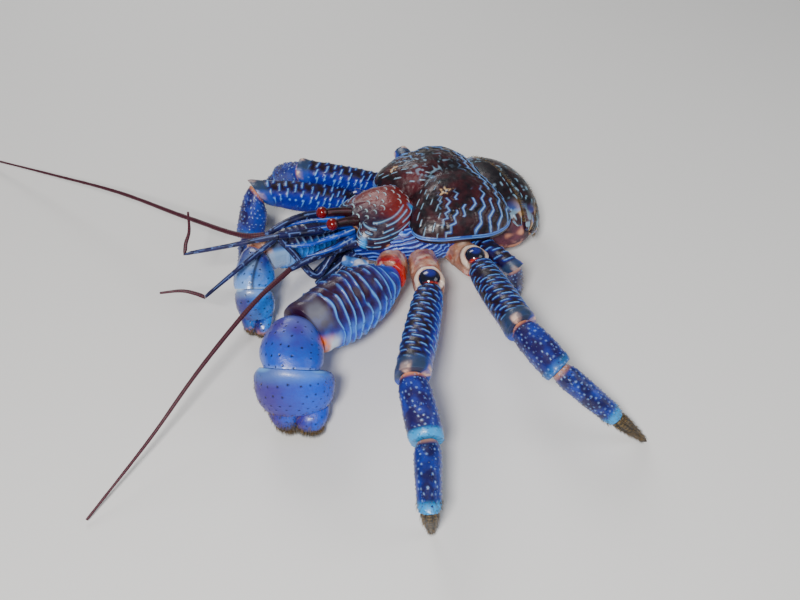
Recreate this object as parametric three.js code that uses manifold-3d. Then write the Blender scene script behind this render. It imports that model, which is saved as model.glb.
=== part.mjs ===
// A life-size coconut crab, standing still on a flat floor.
// Millimetres. +Z is up and the floor is z = 0. The head points along -X and the crab's left side is -Y.
// The origin lies on the floor, in the middle of the flat on which the abdomen rests.
import * as THREE from "three";
import { mergeVertices } from "three/addons/utils/BufferGeometryUtils.js";
import Module from "manifold-3d";

const wasm = await Module();
wasm.setup();

// Driving sizes.
const GAP = 0.3; // between touching pieces
const CARAPACE_LENGTH = 102;
const ROSTRUM_X = -54;
const REAR_X = ROSTRUM_X + CARAPACE_LENGTH;
const RIM_Z = 41; // height of the carapace's rim above the floor
const CROWN_Z = 63; // highest point of the gill lobes
const SOLE_Z = -0.6; // tips run this far below the floor, then are cut flat at it
const FLOOR_BLOCK = 900;
const ORIGIN_X = 49; // all sizes below are from the middle of the carapace; the part is moved back by this

const V = (x, y, z) => new THREE.Vector3(x, y, z);
const mix = THREE.MathUtils.lerp;
const SIDES = { l: -1, r: 1 };

// Materials, one for each finish.
const finish = (color, roughness) => new THREE.MeshStandardMaterial({ color, roughness, metalness: 0 });
const shellDark = finish(0x2a1a3a, 0.32);
const shellBlue = finish(0x2456c8, 0.34);
const shellViolet = finish(0x5a4a9c, 0.38);
const shellPale = finish(0xd9a98c, 0.5);
const eyeRed = finish(0xb00d12, 0.08);
const feelerRed = finish(0x5a1018, 0.4);
const clawHorn = finish(0x5d4a2c, 0.6);
const bellySkin = finish(0x4a3550, 0.7);

const crab = new THREE.Group();

// Solids and meshes.

// A closed three.js geometry as a solid, turned the right way out.
function solid(geometry) {
  const bare = geometry.clone();
  bare.deleteAttribute("normal");
  bare.deleteAttribute("uv");
  const merged = mergeVertices(bare, 1e-4);
  const triVerts = new Uint32Array(merged.index.array);
  const vertProperties = merged.attributes.position.array;
  const made = new wasm.Manifold(new wasm.Mesh({ numProp: 3, vertProperties, triVerts }));
  if (made.volume() > 0) return made;
  for (let i = 0; i < triVerts.length; i += 3) {
    [triVerts[i + 1], triVerts[i + 2]] = [triVerts[i + 2], triVerts[i + 1]];
  }
  return new wasm.Manifold(new wasm.Mesh({ numProp: 3, vertProperties, triVerts }));
}

// The largest closed surface of a solid.
function largest(shape) {
  return shape.decompose().sort((a, b) => b.volume() - a.volume())[0];
}

// Adds a solid to the crab as a named mesh, kept above the floor.
function addNode(name, shape, material) {
  const block = new THREE.BoxGeometry(FLOOR_BLOCK, FLOOR_BLOCK, FLOOR_BLOCK);
  const floor = solid(block.translate(0, 0, -FLOOR_BLOCK / 2));
  const { vertProperties, triVerts } = largest(shape.subtract(floor)).getMesh();
  const geometry = new THREE.BufferGeometry();
  geometry.setAttribute("position", new THREE.BufferAttribute(new Float32Array(vertProperties), 3));
  geometry.setIndex(new THREE.BufferAttribute(new Uint32Array(triVerts), 1));
  geometry.translate(-ORIGIN_X, 0, 0);
  const mesh = new THREE.Mesh(geometry, material);
  mesh.name = name;
  crab.add(mesh);
}

// A closed skin: a sphere's grid, each point placed by its row and its angle. The end rows are single points.
function skin(columns, rows, place) {
  const grid = new THREE.SphereGeometry(1, columns, rows);
  const uv = grid.getAttribute("uv");
  const position = grid.getAttribute("position");
  for (let i = 0; i < position.count; i++) {
    const row = Math.round((1 - uv.getY(i)) * rows);
    const column = Math.round(uv.getX(i) * columns) % columns;
    const pole = row === 0 || row === rows;
    const p = place(row, pole ? 0 : (column / columns) * 2 * Math.PI, pole);
    position.setXYZ(i, p.x, p.y, p.z);
  }
  return solid(grid);
}

// Cosine and sine of an angle, squared off by a power: 2 is round and more is boxier.
function rounded(angle, power) {
  const c = Math.cos(angle);
  const s = Math.sin(angle);
  return [Math.sign(c) * Math.abs(c) ** (2 / power), Math.sign(s) * Math.abs(s) ** (2 / power)];
}

// The part of a direction that is square to a tangent.
function square(direction, tangent) {
  return direction.clone().addScaledVector(tangent, -direction.dot(tangent)).normalize();
}

// A loft through rings, each { at, tangent, wide, a, b, power, rib }, with flat ends.
function loft(rings, columns) {
  return skin(columns, rings.length + 1, (row, angle, pole) => {
    const ring = rings[Math.min(Math.max(row - 1, 0), rings.length - 1)];
    if (pole) return ring.at.clone();
    const across = square(ring.wide, ring.tangent);
    const other = ring.tangent.clone().cross(across);
    const [c, s] = rounded(angle, ring.power ?? 2.3);
    const rib = (ring.rib ?? 0) * Math.sqrt(Math.max(0, -s));
    return ring.at
      .clone()
      .addScaledVector(across, c * (ring.a + rib))
      .addScaledVector(other, s * (ring.b + rib));
  });
}

// Limbs.

// Tangents at the joints of a limb: along the bisector where it bends.
function tangents(joints) {
  return joints.map((p, i) => {
    const before = i > 0 ? p.clone().sub(joints[i - 1]).normalize() : V(0, 0, 0);
    const after = i < joints.length - 1 ? joints[i + 1].clone().sub(p).normalize() : V(0, 0, 0);
    return before.add(after).normalize();
  });
}

// The rings of one length of a limb from joint i to joint i + 1. Each row of its profile is
// [share of length, half width, half depth, rib]. wides gives the broad direction at each joint, and bow
// bends the length to one side.
function segmentRings(joints, wides, i, profile, { power, bow = V(0, 0, 0) } = {}) {
  const t = tangents(joints);
  const axis = joints[i + 1].clone().sub(joints[i]).normalize();
  return profile.map(([u, a, b, rib]) => {
    const turn = u < 0.5 ? t[i].clone().lerp(axis, 2 * u) : axis.clone().lerp(t[i + 1], 2 * u - 1);
    const at = joints[i]
      .clone()
      .lerp(joints[i + 1], u)
      .addScaledVector(bow, Math.sin(Math.PI * u));
    if (u === 0 && i > 0) at.addScaledVector(t[i], GAP / 2);
    if (u === 1) at.addScaledVector(t[i + 1], -GAP / 2);
    const wide = wides[i].clone().lerp(wides[i + 1], u);
    return { at, tangent: turn.normalize(), wide, a, b, power, rib };
  });
}

// Profiles, as shares of a half width and a half depth.
const PROFILES = {
  merus: [
    [0, 0.62, 0.62], [0.07, 0.78, 0.78], [0.3, 0.95, 0.95], [0.6, 1, 1], [0.88, 1, 1], [0.96, 1.04, 1.04],
    [1, 0.9, 0.9],
  ],
  carpus: [
    [0, 0.66, 0.66], [0.08, 0.8, 0.82], [0.4, 0.98, 1], [0.8, 1.02, 1.02], [0.95, 1, 1], [1, 0.84, 0.84],
  ],
  propodus: [
    [0, 0.72, 0.72], [0.08, 0.88, 0.9], [0.4, 1, 1], [0.75, 0.92, 0.92], [0.95, 0.84, 0.84], [1, 0.7, 0.7],
  ],
  dactylus: [
    [0, 0.8, 0.8], [0.12, 1, 1], [0.4, 0.86, 0.86], [0.72, 0.52, 0.52], [0.93, 0.2, 0.2], [1, 0.06, 0.06],
  ],
};

const profileOf = (kind, a, b) => PROFILES[kind].map(([u, ka, kb]) => [u, ka * a, kb * b]);

// A profile's half width (k = 1) or half depth (k = 2) at a share u of the length.
function sizeOf(profile, u, k) {
  const j = Math.max(1, profile.findIndex((row) => row[0] >= u));
  const [low, high] = [profile[j - 1], profile[j]];
  return mix(low[k], high[k], (u - low[0]) / (high[0] - low[0]));
}

// Seeded random numbers from 0 to 1.
function draws(seed) {
  let state = seed;
  return () => {
    state = (state * 1664525 + 1013904223) % 4294967296;
    return state / 4294967296;
  };
}

// Small blunt spines in rows along a length, at the given angles round it, leaning to its tip.
function studs(joints, wides, i, profile, { angles, from, to, count, height, radius, seed }) {
  const draw = draws(seed);
  const made = [];
  for (const row of angles) {
    for (let j = 0; j < count; j++) {
      const u = from + ((to - from) * (j + 0.25 + 0.5 * draw())) / count;
      const [ring] = segmentRings(joints, wides, i, [[u, sizeOf(profile, u, 1), sizeOf(profile, u, 2), 0]]);
      const across = square(ring.wide, ring.tangent);
      const other = ring.tangent.clone().cross(across);
      const [c, s] = rounded(row + 0.3 * (draw() - 0.5), 2.3);
      const out = across.clone().multiplyScalar(c * ring.a).addScaledVector(other, s * ring.b);
      const size = 0.8 + 0.4 * draw();
      const cone = new THREE.ConeGeometry(radius * size, (height + 1.6) * size, 5, 1, false);
      const lean = out.clone().normalize().addScaledVector(ring.tangent, 0.5).normalize();
      cone.applyQuaternion(new THREE.Quaternion().setFromUnitVectors(V(0, 1, 0), lean));
      const at = ring.at.clone().add(out).addScaledVector(lean, 0.5 * (height - 1.6) * size);
      made.push(solid(cone.translate(at.x, at.y, at.z)));
    }
  }
  return wasm.Manifold.union(made);
}

// The same profile with raised ribs across it between two shares of the length.
function ribbed(profile, from, to, count, height) {
  const sizeAt = (u, k) => sizeOf(profile, u, k);
  const rows = profile.filter(([u]) => u < from || u > to).map((row) => [...row, 0]);
  for (let i = 0; i < count; i++) {
    const pitch = (to - from) / count;
    const foot = from + pitch * (i + 0.15);
    const crest = from + pitch * (i + 0.8);
    rows.push([foot, sizeAt(foot, 1), sizeAt(foot, 2), 0]);
    rows.push([crest, sizeAt(crest, 1), sizeAt(crest, 2), height]);
  }
  return rows.sort((p, q) => p[0] - q[0]);
}

// The carapace.

// Right half of an outline seen from above, from the front to the back, as a closed function of a turn.
function outline(points) {
  const half = new THREE.CatmullRomCurve3(points.map(([x, y]) => V(x, y, 0)), false, "centripetal");
  return (angle) => {
    const turn = angle / Math.PI;
    const p = half.getPoint(turn <= 1 ? turn : 2 - turn);
    return V(p.x, turn <= 1 ? p.y : -p.y, 0);
  };
}

// A domed plate over an outline: rimZ and topZ are functions of x and y, and grow swells it on every side.
function dome({ edge, centre, rimZ, topZ, depth, columns, rows, grow = 0, fullness = 0.8 }) {
  return skin(columns, rows, (row, angle) => {
    const fall = (row / rows) * Math.PI;
    const rim = edge(angle);
    const out = rim.clone().sub(centre);
    const reach = Math.sin(fall) ** fullness;
    const x = centre.x + out.x * reach * (1 + grow / out.length());
    const y = centre.y + out.y * reach * (1 + grow / out.length());
    const low = rimZ(x, y);
    const rise = Math.cos(fall);
    const z = rise >= 0 ? low + (topZ(x, y) + grow - low) * rise : low + (depth + grow) * rise;
    return V(x, y, z);
  });
}

const lobeEdge = outline([
  [-12, 0], [-15, 8], [-20, 20], [-19, 29], [-10, 36], [6, 40], [24, 42.5], [38, 38], [45, 27],
  [REAR_X - 1, 13], [REAR_X - 2, 0],
]);
const shieldEdge = outline([
  [ROSTRUM_X, 0], [-50.5, 4], [-48, 9], [-52, 14], [-49, 18], [-40, 21.5], [-28, 21.5], [-18, 18], [-11, 13],
  [-9, 0],
]);

// The gill lobes: two swellings with a shallow valley between them that deepens to the front.
function lobes(grow) {
  const valley = (x, y) => 5 * Math.exp(-((y / 7) ** 2)) * THREE.MathUtils.smoothstep(-x, -40, 16);
  return dome({
    edge: lobeEdge,
    centre: V(14, 0, 0),
    rimZ: (x) => mix(RIM_Z + 2, RIM_Z - 5, THREE.MathUtils.smoothstep(x, -20, REAR_X)),
    topZ: (x, y) => CROWN_Z - 0.006 * (x - 8) ** 2 - valley(x, y),
    depth: 9,
    columns: 32,
    rows: 10,
    grow,
  });
}

function shield(grow) {
  return dome({
    edge: shieldEdge,
    centre: V(-30, 0, 0),
    rimZ: (x, y) => mix(47, 39, THREE.MathUtils.smoothstep(Math.abs(y), 6, 22)),
    topZ: (x) => mix(52, 58, THREE.MathUtils.smoothstep(x, ROSTRUM_X, -14)),
    depth: 6,
    columns: 26,
    rows: 8,
    grow,
    fullness: 0.9,
  });
}

// The cheek plate of one side, which carries the wavy lines:
// [x, outer half width, z, half depth, half height].
const CHEEK = [
  [-52, 13, 37, 3, 5], [-46, 17, 35, 6, 8], [-36, 22.5, 33, 9, 11], [-22, 29.5, 32, 12, 13],
  [-8, 34, 33, 14, 13], [8, 37, 35, 14, 11], [20, 38, 37, 9, 7],
];
function cheek(side, grow) {
  const rings = CHEEK.map(([x, outer, z, depth, height], i) => ({
    at: V(x + (i === 0 ? -grow : i === CHEEK.length - 1 ? grow : 0), side * (outer - depth), z),
    tangent: V(1, 0, 0),
    wide: V(0, 1, 0),
    a: depth + grow,
    b: height + grow,
  }));
  return loft(rings, 14);
}

// The abdomen: a rounded rump, as an ellipsoid cut into plates.
const RUMP = { centre: V(ORIGIN_X, 0, 21.4), x: 25, y: 36.5, z: 22 };
const PLATE_DEPTH = 3.2;
function rumpPoint(alpha, beta, out) {
  const direction = V(Math.sin(alpha) * Math.cos(beta), Math.sin(beta), Math.cos(alpha) * Math.cos(beta));
  return direction.multiply(V(RUMP.x + out, RUMP.y + out, RUMP.z + out)).add(RUMP.centre);
}
function rump(out) {
  const ball = new THREE.SphereGeometry(1, 24, 12);
  ball.scale(RUMP.x + out, RUMP.z + out, RUMP.y + out).rotateX(Math.PI / 2);
  return solid(ball.translate(RUMP.centre.x, 0, RUMP.centre.z));
}

// One abdominal plate from alpha0 to alpha1, as far round each side as reach. Its rear edge stands proud.
function tergite(alpha0, alpha1, reach) {
  const stations = 15;
  const inset = 0.35 / RUMP.z;
  return skin(8, stations + 1, (row, angle, pole) => {
    const share = (Math.min(Math.max(row, 1), stations) - 1) / (stations - 1);
    const beta = mix(-reach, reach, share);
    const taper = Math.sqrt(Math.max(0.08, 1 - (beta / (reach * 1.04)) ** 4));
    const [c, s] = pole ? [0, 0] : rounded(angle, 3.2);
    const middle = (alpha0 + alpha1) / 2;
    const half = ((alpha1 - alpha0) / 2 - inset / 2) * taper;
    const proud = PLATE_DEPTH * mix(0.62, 1, (c + 1) / 2);
    return rumpPoint(middle + c * half, beta, GAP + (proud / 2) * (1 + s));
  });
}

const DEGREE = Math.PI / 180;
const TERGITES = [[-24, 14, 66], [15.5, 56, 75], [57.5, 98, 74]];
const TELSON = [99.5, 128, 34];

const TRUNK = [
  [-50, 8, 6, 34], [-45, 14, 9, 31], [-30, 20, 12, 28], [-10, 24, 14, 27], [12, 25, 14, 27], [30, 22, 12, 28],
  [42, 14, 8, 30],
];
function trunk(grow) {
  const rings = TRUNK.map(([x, a, b, z], i) => ({
    at: V(x + (i === 0 ? -grow : i === TRUNK.length - 1 ? grow : 0), 0, z),
    tangent: V(1, 0, 0),
    wide: V(0, 1, 0),
    a: a + grow,
    b: b + grow,
  }));
  return loft(rings, 18);
}

// Builds the trunk and the abdomen, and returns the room that the limbs must leave them.
function buildTrunk() {
  const lobeRoom = lobes(GAP);
  addNode("carapace_lobes", lobes(0), shellDark);
  addNode("carapace_shield", shield(0).subtract(lobeRoom), shellDark);
  let room = lobeRoom.add(shield(GAP));
  for (const [key, side] of Object.entries(SIDES)) {
    addNode("carapace_cheek_" + key, cheek(side, 0).subtract(room), shellBlue);
  }
  room = room.add(cheek(-1, GAP)).add(cheek(1, GAP));
  TERGITES.forEach(([a0, a1, reach], i) => {
    const plate = tergite(a0 * DEGREE, a1 * DEGREE, reach * DEGREE);
    addNode("abdomen_plate_" + (i + 1), plate.subtract(room), shellDark);
  });
  const [t0, t1, reach] = TELSON;
  addNode("abdomen_telson", tergite(t0 * DEGREE, t1 * DEGREE, reach * DEGREE), shellDark);
  addNode("abdomen_belly", rump(0).subtract(room), bellySkin);
  addNode("thorax", trunk(0).subtract(room).subtract(rump(PLATE_DEPTH + 2 * GAP)), shellPale);
  return room.add(trunk(GAP));
}

// One limb: its named lengths joined face to face at the joints. Each is [part, profile, material, options].
// extra holds lists of solids to fuse with a part.
function addLimb(prefix, joints, wides, lengths, cut, extra = {}) {
  lengths.forEach(([part, profile, material, options = {}], i) => {
    let shape = loft(segmentRings(joints, wides, i, profile, options), options.columns ?? 12);
    for (const piece of extra[part] ?? []) shape = shape.add(piece);
    if (cut && i < 2) shape = shape.subtract(cut);
    addNode(prefix + "_" + part, shape, material);
  });
}

const UP = V(0, 0, 1);

// Joints of the walking legs: hip, end of the base, knee, end of the carpus, end of the propodus, tip.
const LEGS = {
  leg2_l: { size: 1, joints: [
    [-14, -22, 26], [-29, -61, 35], [-73, -120.5, 46], [-81, -151, 34], [-97, -182, 29],
    [-93, -178.6, SOLE_Z],
  ] },
  leg2_r: { size: 0.9, joints: [
    [-14, 22, 24], [-30, 37, 27], [-87, 52, 46], [-98.3, 43.5, 20], [-112, 14, 13], [-102, 1, SOLE_Z],
  ] },
  leg3_l: { size: 0.94, joints: [
    [4, -22, 26], [6, -55, 33], [-6, -118, 46], [-2.5, -148.5, 42], [19, -173, 18], [35, -184.5, SOLE_Z],
  ] },
  leg3_r: { size: 0.8, joints: [
    [4, 22, 25], [-5, 42, 27.5], [-54, 60, 44], [-61.5, 78.5, 30], [-76, 87, 9], [-82, 68, SOLE_Z],
  ] },
};

const STUDS = { angles: [-0.5, 0.5], from: 0.15, to: 0.9, count: 3, height: 1, radius: 0.9 };

// The smooth boss on top of the end of a leg's base, clear of the length that follows.
function boss(points, wides, profile, radius) {
  const [from, to] = points;
  const at = to.clone().addScaledVector(to.clone().sub(from).normalize(), -0.4 * radius);
  const ball = new THREE.SphereGeometry(1, 12, 6).scale(0.72 * radius, 0.72 * radius, 0.52 * radius);
  const next = profile.map(([u, a, b]) => [u, a + 1.5 * GAP, b + 1.5 * GAP]);
  const room = segmentRings(points, wides, 1, next);
  room[0].at.addScaledVector(room[0].tangent, -1.5 * GAP);
  return solid(ball.translate(at.x, at.y, at.z + 0.72 * radius)).subtract(loft(room, 12));
}

function buildWalkingLegs(cut) {
  for (const [name, { size, joints }] of Object.entries(LEGS)) {
    const points = joints.map((p) => V(...p));
    const outward = points[2].clone().sub(points[0]).setZ(0).normalize();
    const wides = [UP, UP, UP, V(...outward).setZ(1), outward, outward];
    const lengths = [
      ["base", profileOf("carpus", 8.6 * size, 8.6 * size), shellPale],
      ["merus", ribbed(profileOf("merus", 10 * size, 9.2 * size), 0.12, 0.9, 7, 0.6), shellBlue],
      ["carpus", profileOf("carpus", 9 * size, 8.6 * size), shellViolet],
      ["propodus", profileOf("propodus", 7 * size, 6.6 * size), shellBlue],
      ["dactylus", profileOf("dactylus", 4.4 * size, 4.2 * size), clawHorn],
    ];
    addLimb(name, points, wides, lengths, cut, {
      base: [boss(points, wides, profileOf("merus", 10.6 * size, 9.8 * size), 8.6 * size)],
      carpus: [studs(points, wides, 2, lengths[2][1], { ...STUDS, seed: joints[2][1] })],
      propodus: [studs(points, wides, 3, lengths[3][1], { ...STUDS, seed: joints[3][1] })],
    });
  }
}

// The slender fourth legs, tucked in behind the third.
const SMALL_LEGS = {
  leg4_l: [[18, -20, 27], [21, -71, 37], [29, -64, SOLE_Z]],
  leg4_r: [[18, 20, 27], [19, 62, 30], [31, 66, SOLE_Z]],
};

function buildSmallLegs(cut) {
  for (const [name, joints] of Object.entries(SMALL_LEGS)) {
    const points = joints.map((p) => V(...p));
    const lower = [[0, 3.6, 3.6], [0.15, 4.6, 4.6], [0.5, 4.4, 4.4], [0.8, 3.4, 3.4], [1, 1.4, 1.4]];
    const lengths = [
      ["upper", profileOf("merus", 5.4, 5.4), shellBlue, { columns: 10 }],
      ["lower", lower, clawHorn, { columns: 10 }],
    ];
    const outward = points[1].clone().sub(points[0]).setZ(0).normalize();
    addLimb(name, points, [UP, V(...outward).setZ(1), outward], lengths, cut);
  }
}

// The two claws, the left one the larger: joints from the hip to the end of the palm, with broad directions.
const CLAWS = {
  claw_l: {
    joints: [[-29, -16, 26], [-42, -38, 31], [-105.5, -59.5, 39], [-121.6, -78.7, 36], [-122, -85, 15]],
    wides: [[0, 0.45, 1], [0, 0.45, 1], [-0.17, 0.47, 0.87], [-0.86, 0.47, 0.12], [-0.88, 0.47, 0]],
    base: [9, 9],
    merus: [18.6, 12.4],
    carpus: [15.5, 13],
    palm: [20.8, 13.8],
    fingers: [[-7.8, [-119, -94, SOLE_Z], 9], [8, [-125.4, -89.2, SOLE_Z], 8.6]],
    ribs: [0.12, 0.86, 9, 0.9],
    merusBow: [0.2, -0.5, -1],
    carpusBow: [-2.3, 1.2, 0],
    palmStuds: { angles: [2.6, 3.5, 5.8], from: 0.45, to: 0.95, count: 3, height: 1.2, radius: 1, seed: 31 },
  },
  claw_r: {
    joints: [[-28, 14, 26], [-46, 18, 25], [-103.2, 12.2, 34], [-115.2, -5.4, 26.5], [-116, -11.5, 11]],
    wides: [[0, 0, 1], [0, -0.2, 1], [-0.1, -0.2, 1], [-0.88, 0.4, 0.3], [-0.88, 0.47, 0]],
    base: [7.5, 7.5],
    merus: [14, 10],
    carpus: [10.8, 9.8],
    palm: [11, 8.6],
    fingers: [[-4.1, [-115.4, -18.6, SOLE_Z], 4.9], [4.2, [-119.2, -14.4, SOLE_Z], 4.6]],
    ribs: [0.2, 0.86, 5, 0.5],
    merusBow: [0, 0, 0],
    carpusBow: [0, 0, 0],
    palmStuds: { angles: [2.8, 5.9], from: 0.45, to: 0.95, count: 2, height: 0.9, radius: 0.8, seed: 37 },
  },
};
const CLAW_PROFILES = {
  merus: [
    [0, 0.4, 0.5], [0.06, 0.52, 0.66], [0.2, 0.78, 0.86], [0.45, 1, 1], [0.7, 1, 1], [0.88, 0.92, 0.95],
    [0.96, 0.9, 0.92], [1, 0.76, 0.8],
  ],
  carpus: [[0, 0.66, 0.72], [0.1, 0.86, 0.86], [0.45, 1.06, 1.04], [0.85, 1.04, 1.06], [1, 0.84, 0.88]],
  palm: [
    [0, 0.7, 0.74], [0.08, 0.86, 0.88], [0.35, 1, 1], [0.7, 0.98, 0.99], [0.92, 0.89, 0.91], [1, 0.81, 0.84],
  ],
  finger: [[0, 0.92, 0.86], [0.15, 1, 0.96], [0.5, 0.84, 0.82], [0.8, 0.56, 0.56], [1, 0.24, 0.24]],
};
const scaled = (kind, [a, b]) => CLAW_PROFILES[kind].map(([u, ka, kb]) => [u, ka * a, kb * b]);

function buildClaws(cut) {
  for (const [name, claw] of Object.entries(CLAWS)) {
    const points = claw.joints.map((p) => V(...p));
    const wides = claw.wides.map((p) => V(...p));
    const [merusBow, carpusBow] = [V(...claw.merusBow), V(...claw.carpusBow)];
    const merus = ribbed(scaled("merus", claw.merus), ...claw.ribs);
    const lengths = [
      ["base", profileOf("carpus", ...claw.base), shellPale],
      ["merus", merus, shellViolet, { columns: 16, bow: merusBow }],
      ["carpus", scaled("carpus", claw.carpus), shellViolet, { columns: 16, bow: carpusBow }],
      ["palm", scaled("palm", claw.palm), shellBlue, { columns: 16 }],
    ];
    const end = points.at(-1);
    const down = end.clone().sub(points.at(-2)).normalize();
    const broad = wides.at(-1).clone().normalize();
    const finger = ([offset, tip, radius], sink, grow) => {
      const root = end.clone().addScaledVector(broad, offset).addScaledVector(down, -sink);
      const profile = CLAW_PROFILES.finger.map(([u, a, b]) => [u, a * radius + grow, b * radius + grow]);
      const rings = segmentRings([root, V(...tip)], [broad, broad], 0, profile, { bow: V(-3, -3, 0) });
      rings[0].tangent = down.clone();
      return loft(rings, 10);
    };
    const [moving, fixed] = claw.fingers;
    const extra = { palm: [finger(fixed, 5, 0), studs(points, wides, 3, lengths[3][1], claw.palmStuds)] };
    addLimb(name, points, wides, lengths, cut, extra);
    addNode(name + "_dactylus", finger(moving, -GAP, 0).subtract(finger(fixed, 5, 1.5 * GAP)), clawHorn);
  }
}

// A round feeler along a curve, tapering from one radius to the other, each end square to a given normal.
function cord(curve, [from, to], columns, stations, startNormal, endNormal) {
  const rings = Array.from({ length: stations }, (_, i) => {
    const u = i / (stations - 1);
    const radius = mix(from, to, u);
    const ring = { at: curve.getPointAt(u), tangent: curve.getTangentAt(u), wide: UP, power: 2 };
    ring.a = ring.b = radius;
    if (i === 0 && startNormal) {
      ring.tangent = startNormal;
      ring.at.addScaledVector(startNormal, GAP / 2);
    }
    if (i === stations - 1 && endNormal) {
      ring.tangent = endNormal;
      ring.at.addScaledVector(endNormal, -GAP / 2);
    }
    return ring;
  });
  return loft(rings, columns);
}

// A feeler in several lengths, each [name, points, radii, columns, stations, material]. Each starts where
// the one before it ended.
function addFeeler(lengths, cut) {
  const curves = lengths.map(([, points], i) => {
    const start = i > 0 ? [lengths[i - 1][1].at(-1)] : [];
    return new THREE.CatmullRomCurve3([...start, ...points].map((p) => V(...p)), false, "centripetal");
  });
  const bend = (curve, i) => curves[i].getTangentAt(1).add(curve.getTangentAt(0)).normalize();
  const normals = curves.slice(1).map(bend);
  lengths.forEach(([name, , radii, columns, stations, material], i) => {
    const shape = cord(curves[i], radii, columns, stations, normals[i - 1], normals[i]);
    addNode(name, shape.subtract(cut), material);
  });
}

const HEAD = [
  [
    ["antennule_l", [
      [-50, -5, 42], [-62, -8, 38], [-77.5, -13.5, 27.5], [-80, -13, 28.5], [-88, -4, 43], [-94, 2, 52],
    ], [2.6, 1.9], 8, 12, shellViolet],
    ["antennule_tip_l", [[-120, -6, 47], [-144.6, -13.9, 42]], [1.7, 1], 8, 6, shellViolet],
    ["antennule_brush_l", [
      [-149, -9.5, 43], [-154.6, -5.6, 44], [-165.8, -1.4, 44],
    ], [1.2, 0.6], 8, 8, feelerRed],
  ],
  [
    ["antennule_r", [
      [-50, 3.5, 43], [-64, -1, 48], [-80, -5, 55], [-95.5, -4.6, 59],
    ], [2.6, 1.9], 8, 8, shellViolet],
    ["antennule_tip_r", [[-121, 7, 53], [-144.2, 17.7, 48]], [1.7, 1], 8, 6, shellViolet],
    ["antennule_brush_r", [
      [-142, 21, 52], [-137.9, 25.3, 56], [-134.1, 35, 62],
    ], [1.2, 0.6], 8, 8, feelerRed],
  ],
  [
    ["antenna_base_l", [
      [-47, -11, 40], [-60, -13.5, 43], [-80, -16, 45], [-96, -19.7, 46],
    ], [3.6, 1.7], 10, 8, shellViolet],
    ["antenna_l", [
      [-122, -32.8, 45], [-163.2, -53, 32], [-199.2, -71.5, 16], [-241, -93, 2],
    ], [1.5, 0.6], 8, 20, feelerRed],
  ],
  [
    ["antenna_base_r", [
      [-47, 9, 43], [-60, 11.5, 48], [-80, 9, 54.5], [-100, 5, 54],
    ], [3.4, 1.7], 10, 8, shellViolet],
    ["antenna_r", [
      [-110, 12, 52], [-131, 49, 45], [-159, 109, 32], [-191, 168, 17], [-226, 226, 4],
    ], [1.5, 0.6], 8, 22, feelerRed],
  ],
  [
    [
      "maxilliped_l",
      [[-46, -6.4, 29], [-58, -7, 24], [-70, -6.6, 17], [-75, -5, 12]],
      [5, 2], 10, 8, shellViolet,
    ],
  ],
  [
    [
      "maxilliped_r",
      [[-46, 4.8, 28], [-58, 4.4, 21], [-68, 3, 13], [-72, 2, 8]],
      [4.8, 2], 10, 8, shellViolet,
    ],
  ],
];
const EYES = { eye_l: [-63.2, -7, 56], eye_r: [-64.2, 5, 56] };
const EYE_RADIUS = 3.6;

const STALKS = {
  l: [[-47, -4.6, 50], [-54, -5.4, 53], [-60.5, -6.6, 55]],
  r: [[-47, 4.6, 50], [-55, 4.8, 53], [-61.5, 4.9, 55]],
};

function buildHead(cut) {
  for (const [key, points] of Object.entries(STALKS)) {
    const at = EYES["eye_" + key];
    addNode("eye_" + key, solid(new THREE.SphereGeometry(EYE_RADIUS, 14, 10).translate(...at)), eyeRed);
    const socket = solid(new THREE.SphereGeometry(EYE_RADIUS + GAP, 14, 10).translate(...at));
    const curve = new THREE.CatmullRomCurve3(points.map((p) => V(...p)), false, "centripetal");
    addNode("eyestalk_" + key, cord(curve, [2.9, 2.5], 10, 5).subtract(socket).subtract(cut), shellDark);
  }
  for (const lengths of HEAD) addFeeler(lengths, cut);
}

const room = buildTrunk();
buildWalkingLegs(room);
buildSmallLegs(room);
buildClaws(room);
buildHead(room);

export default crab;
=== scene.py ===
"""A life-size coconut crab, still on a pale floor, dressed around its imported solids.

Lengths in the classes are in millimetres, measured from the middle of the carapace, with the
head towards -X, the crab's left side towards -Y and the floor at Z = 0. Meshes are written in
metres and moved back by ORIGIN_X, which puts them in the frame of the solids.
"""
import logging
import math
from dataclasses import dataclass, field
from enum import Enum
from typing import Callable, Sequence

import bmesh
import bpy
import numpy as np
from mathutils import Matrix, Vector


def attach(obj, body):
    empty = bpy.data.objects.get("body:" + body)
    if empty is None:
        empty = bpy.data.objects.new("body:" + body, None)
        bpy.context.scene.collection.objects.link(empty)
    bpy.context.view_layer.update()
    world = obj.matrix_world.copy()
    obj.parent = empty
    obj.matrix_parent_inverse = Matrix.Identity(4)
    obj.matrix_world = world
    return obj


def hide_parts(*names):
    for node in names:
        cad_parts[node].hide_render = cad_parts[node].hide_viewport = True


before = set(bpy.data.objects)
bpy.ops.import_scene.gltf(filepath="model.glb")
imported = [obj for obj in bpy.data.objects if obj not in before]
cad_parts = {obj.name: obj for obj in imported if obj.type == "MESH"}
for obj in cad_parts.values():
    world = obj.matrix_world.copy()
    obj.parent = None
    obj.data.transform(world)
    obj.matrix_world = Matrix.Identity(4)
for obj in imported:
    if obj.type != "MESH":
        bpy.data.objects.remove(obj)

LOG = logging.getLogger("coconut_crab")
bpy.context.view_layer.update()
MM = 0.001
ORIGIN_X = 49.0
GAP = 0.3
BASE_RADIUS = 8.6
TUFT_SINK = 0.35
TUFT_PATCH = 0.0015
BODY = "root"
MASKS = ("line", "pit", "tone", "warm", "glow")
Array = np.ndarray


# ---- Numbers and noise


def vec(*xyz: float) -> Array:
    """Three numbers as an array."""
    return np.array(xyz, float)


def unit(v: Array) -> Array:
    """Vectors of length one, along the last axis."""
    return v / np.maximum(np.linalg.norm(v, axis=-1, keepdims=True), 1e-9)


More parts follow.
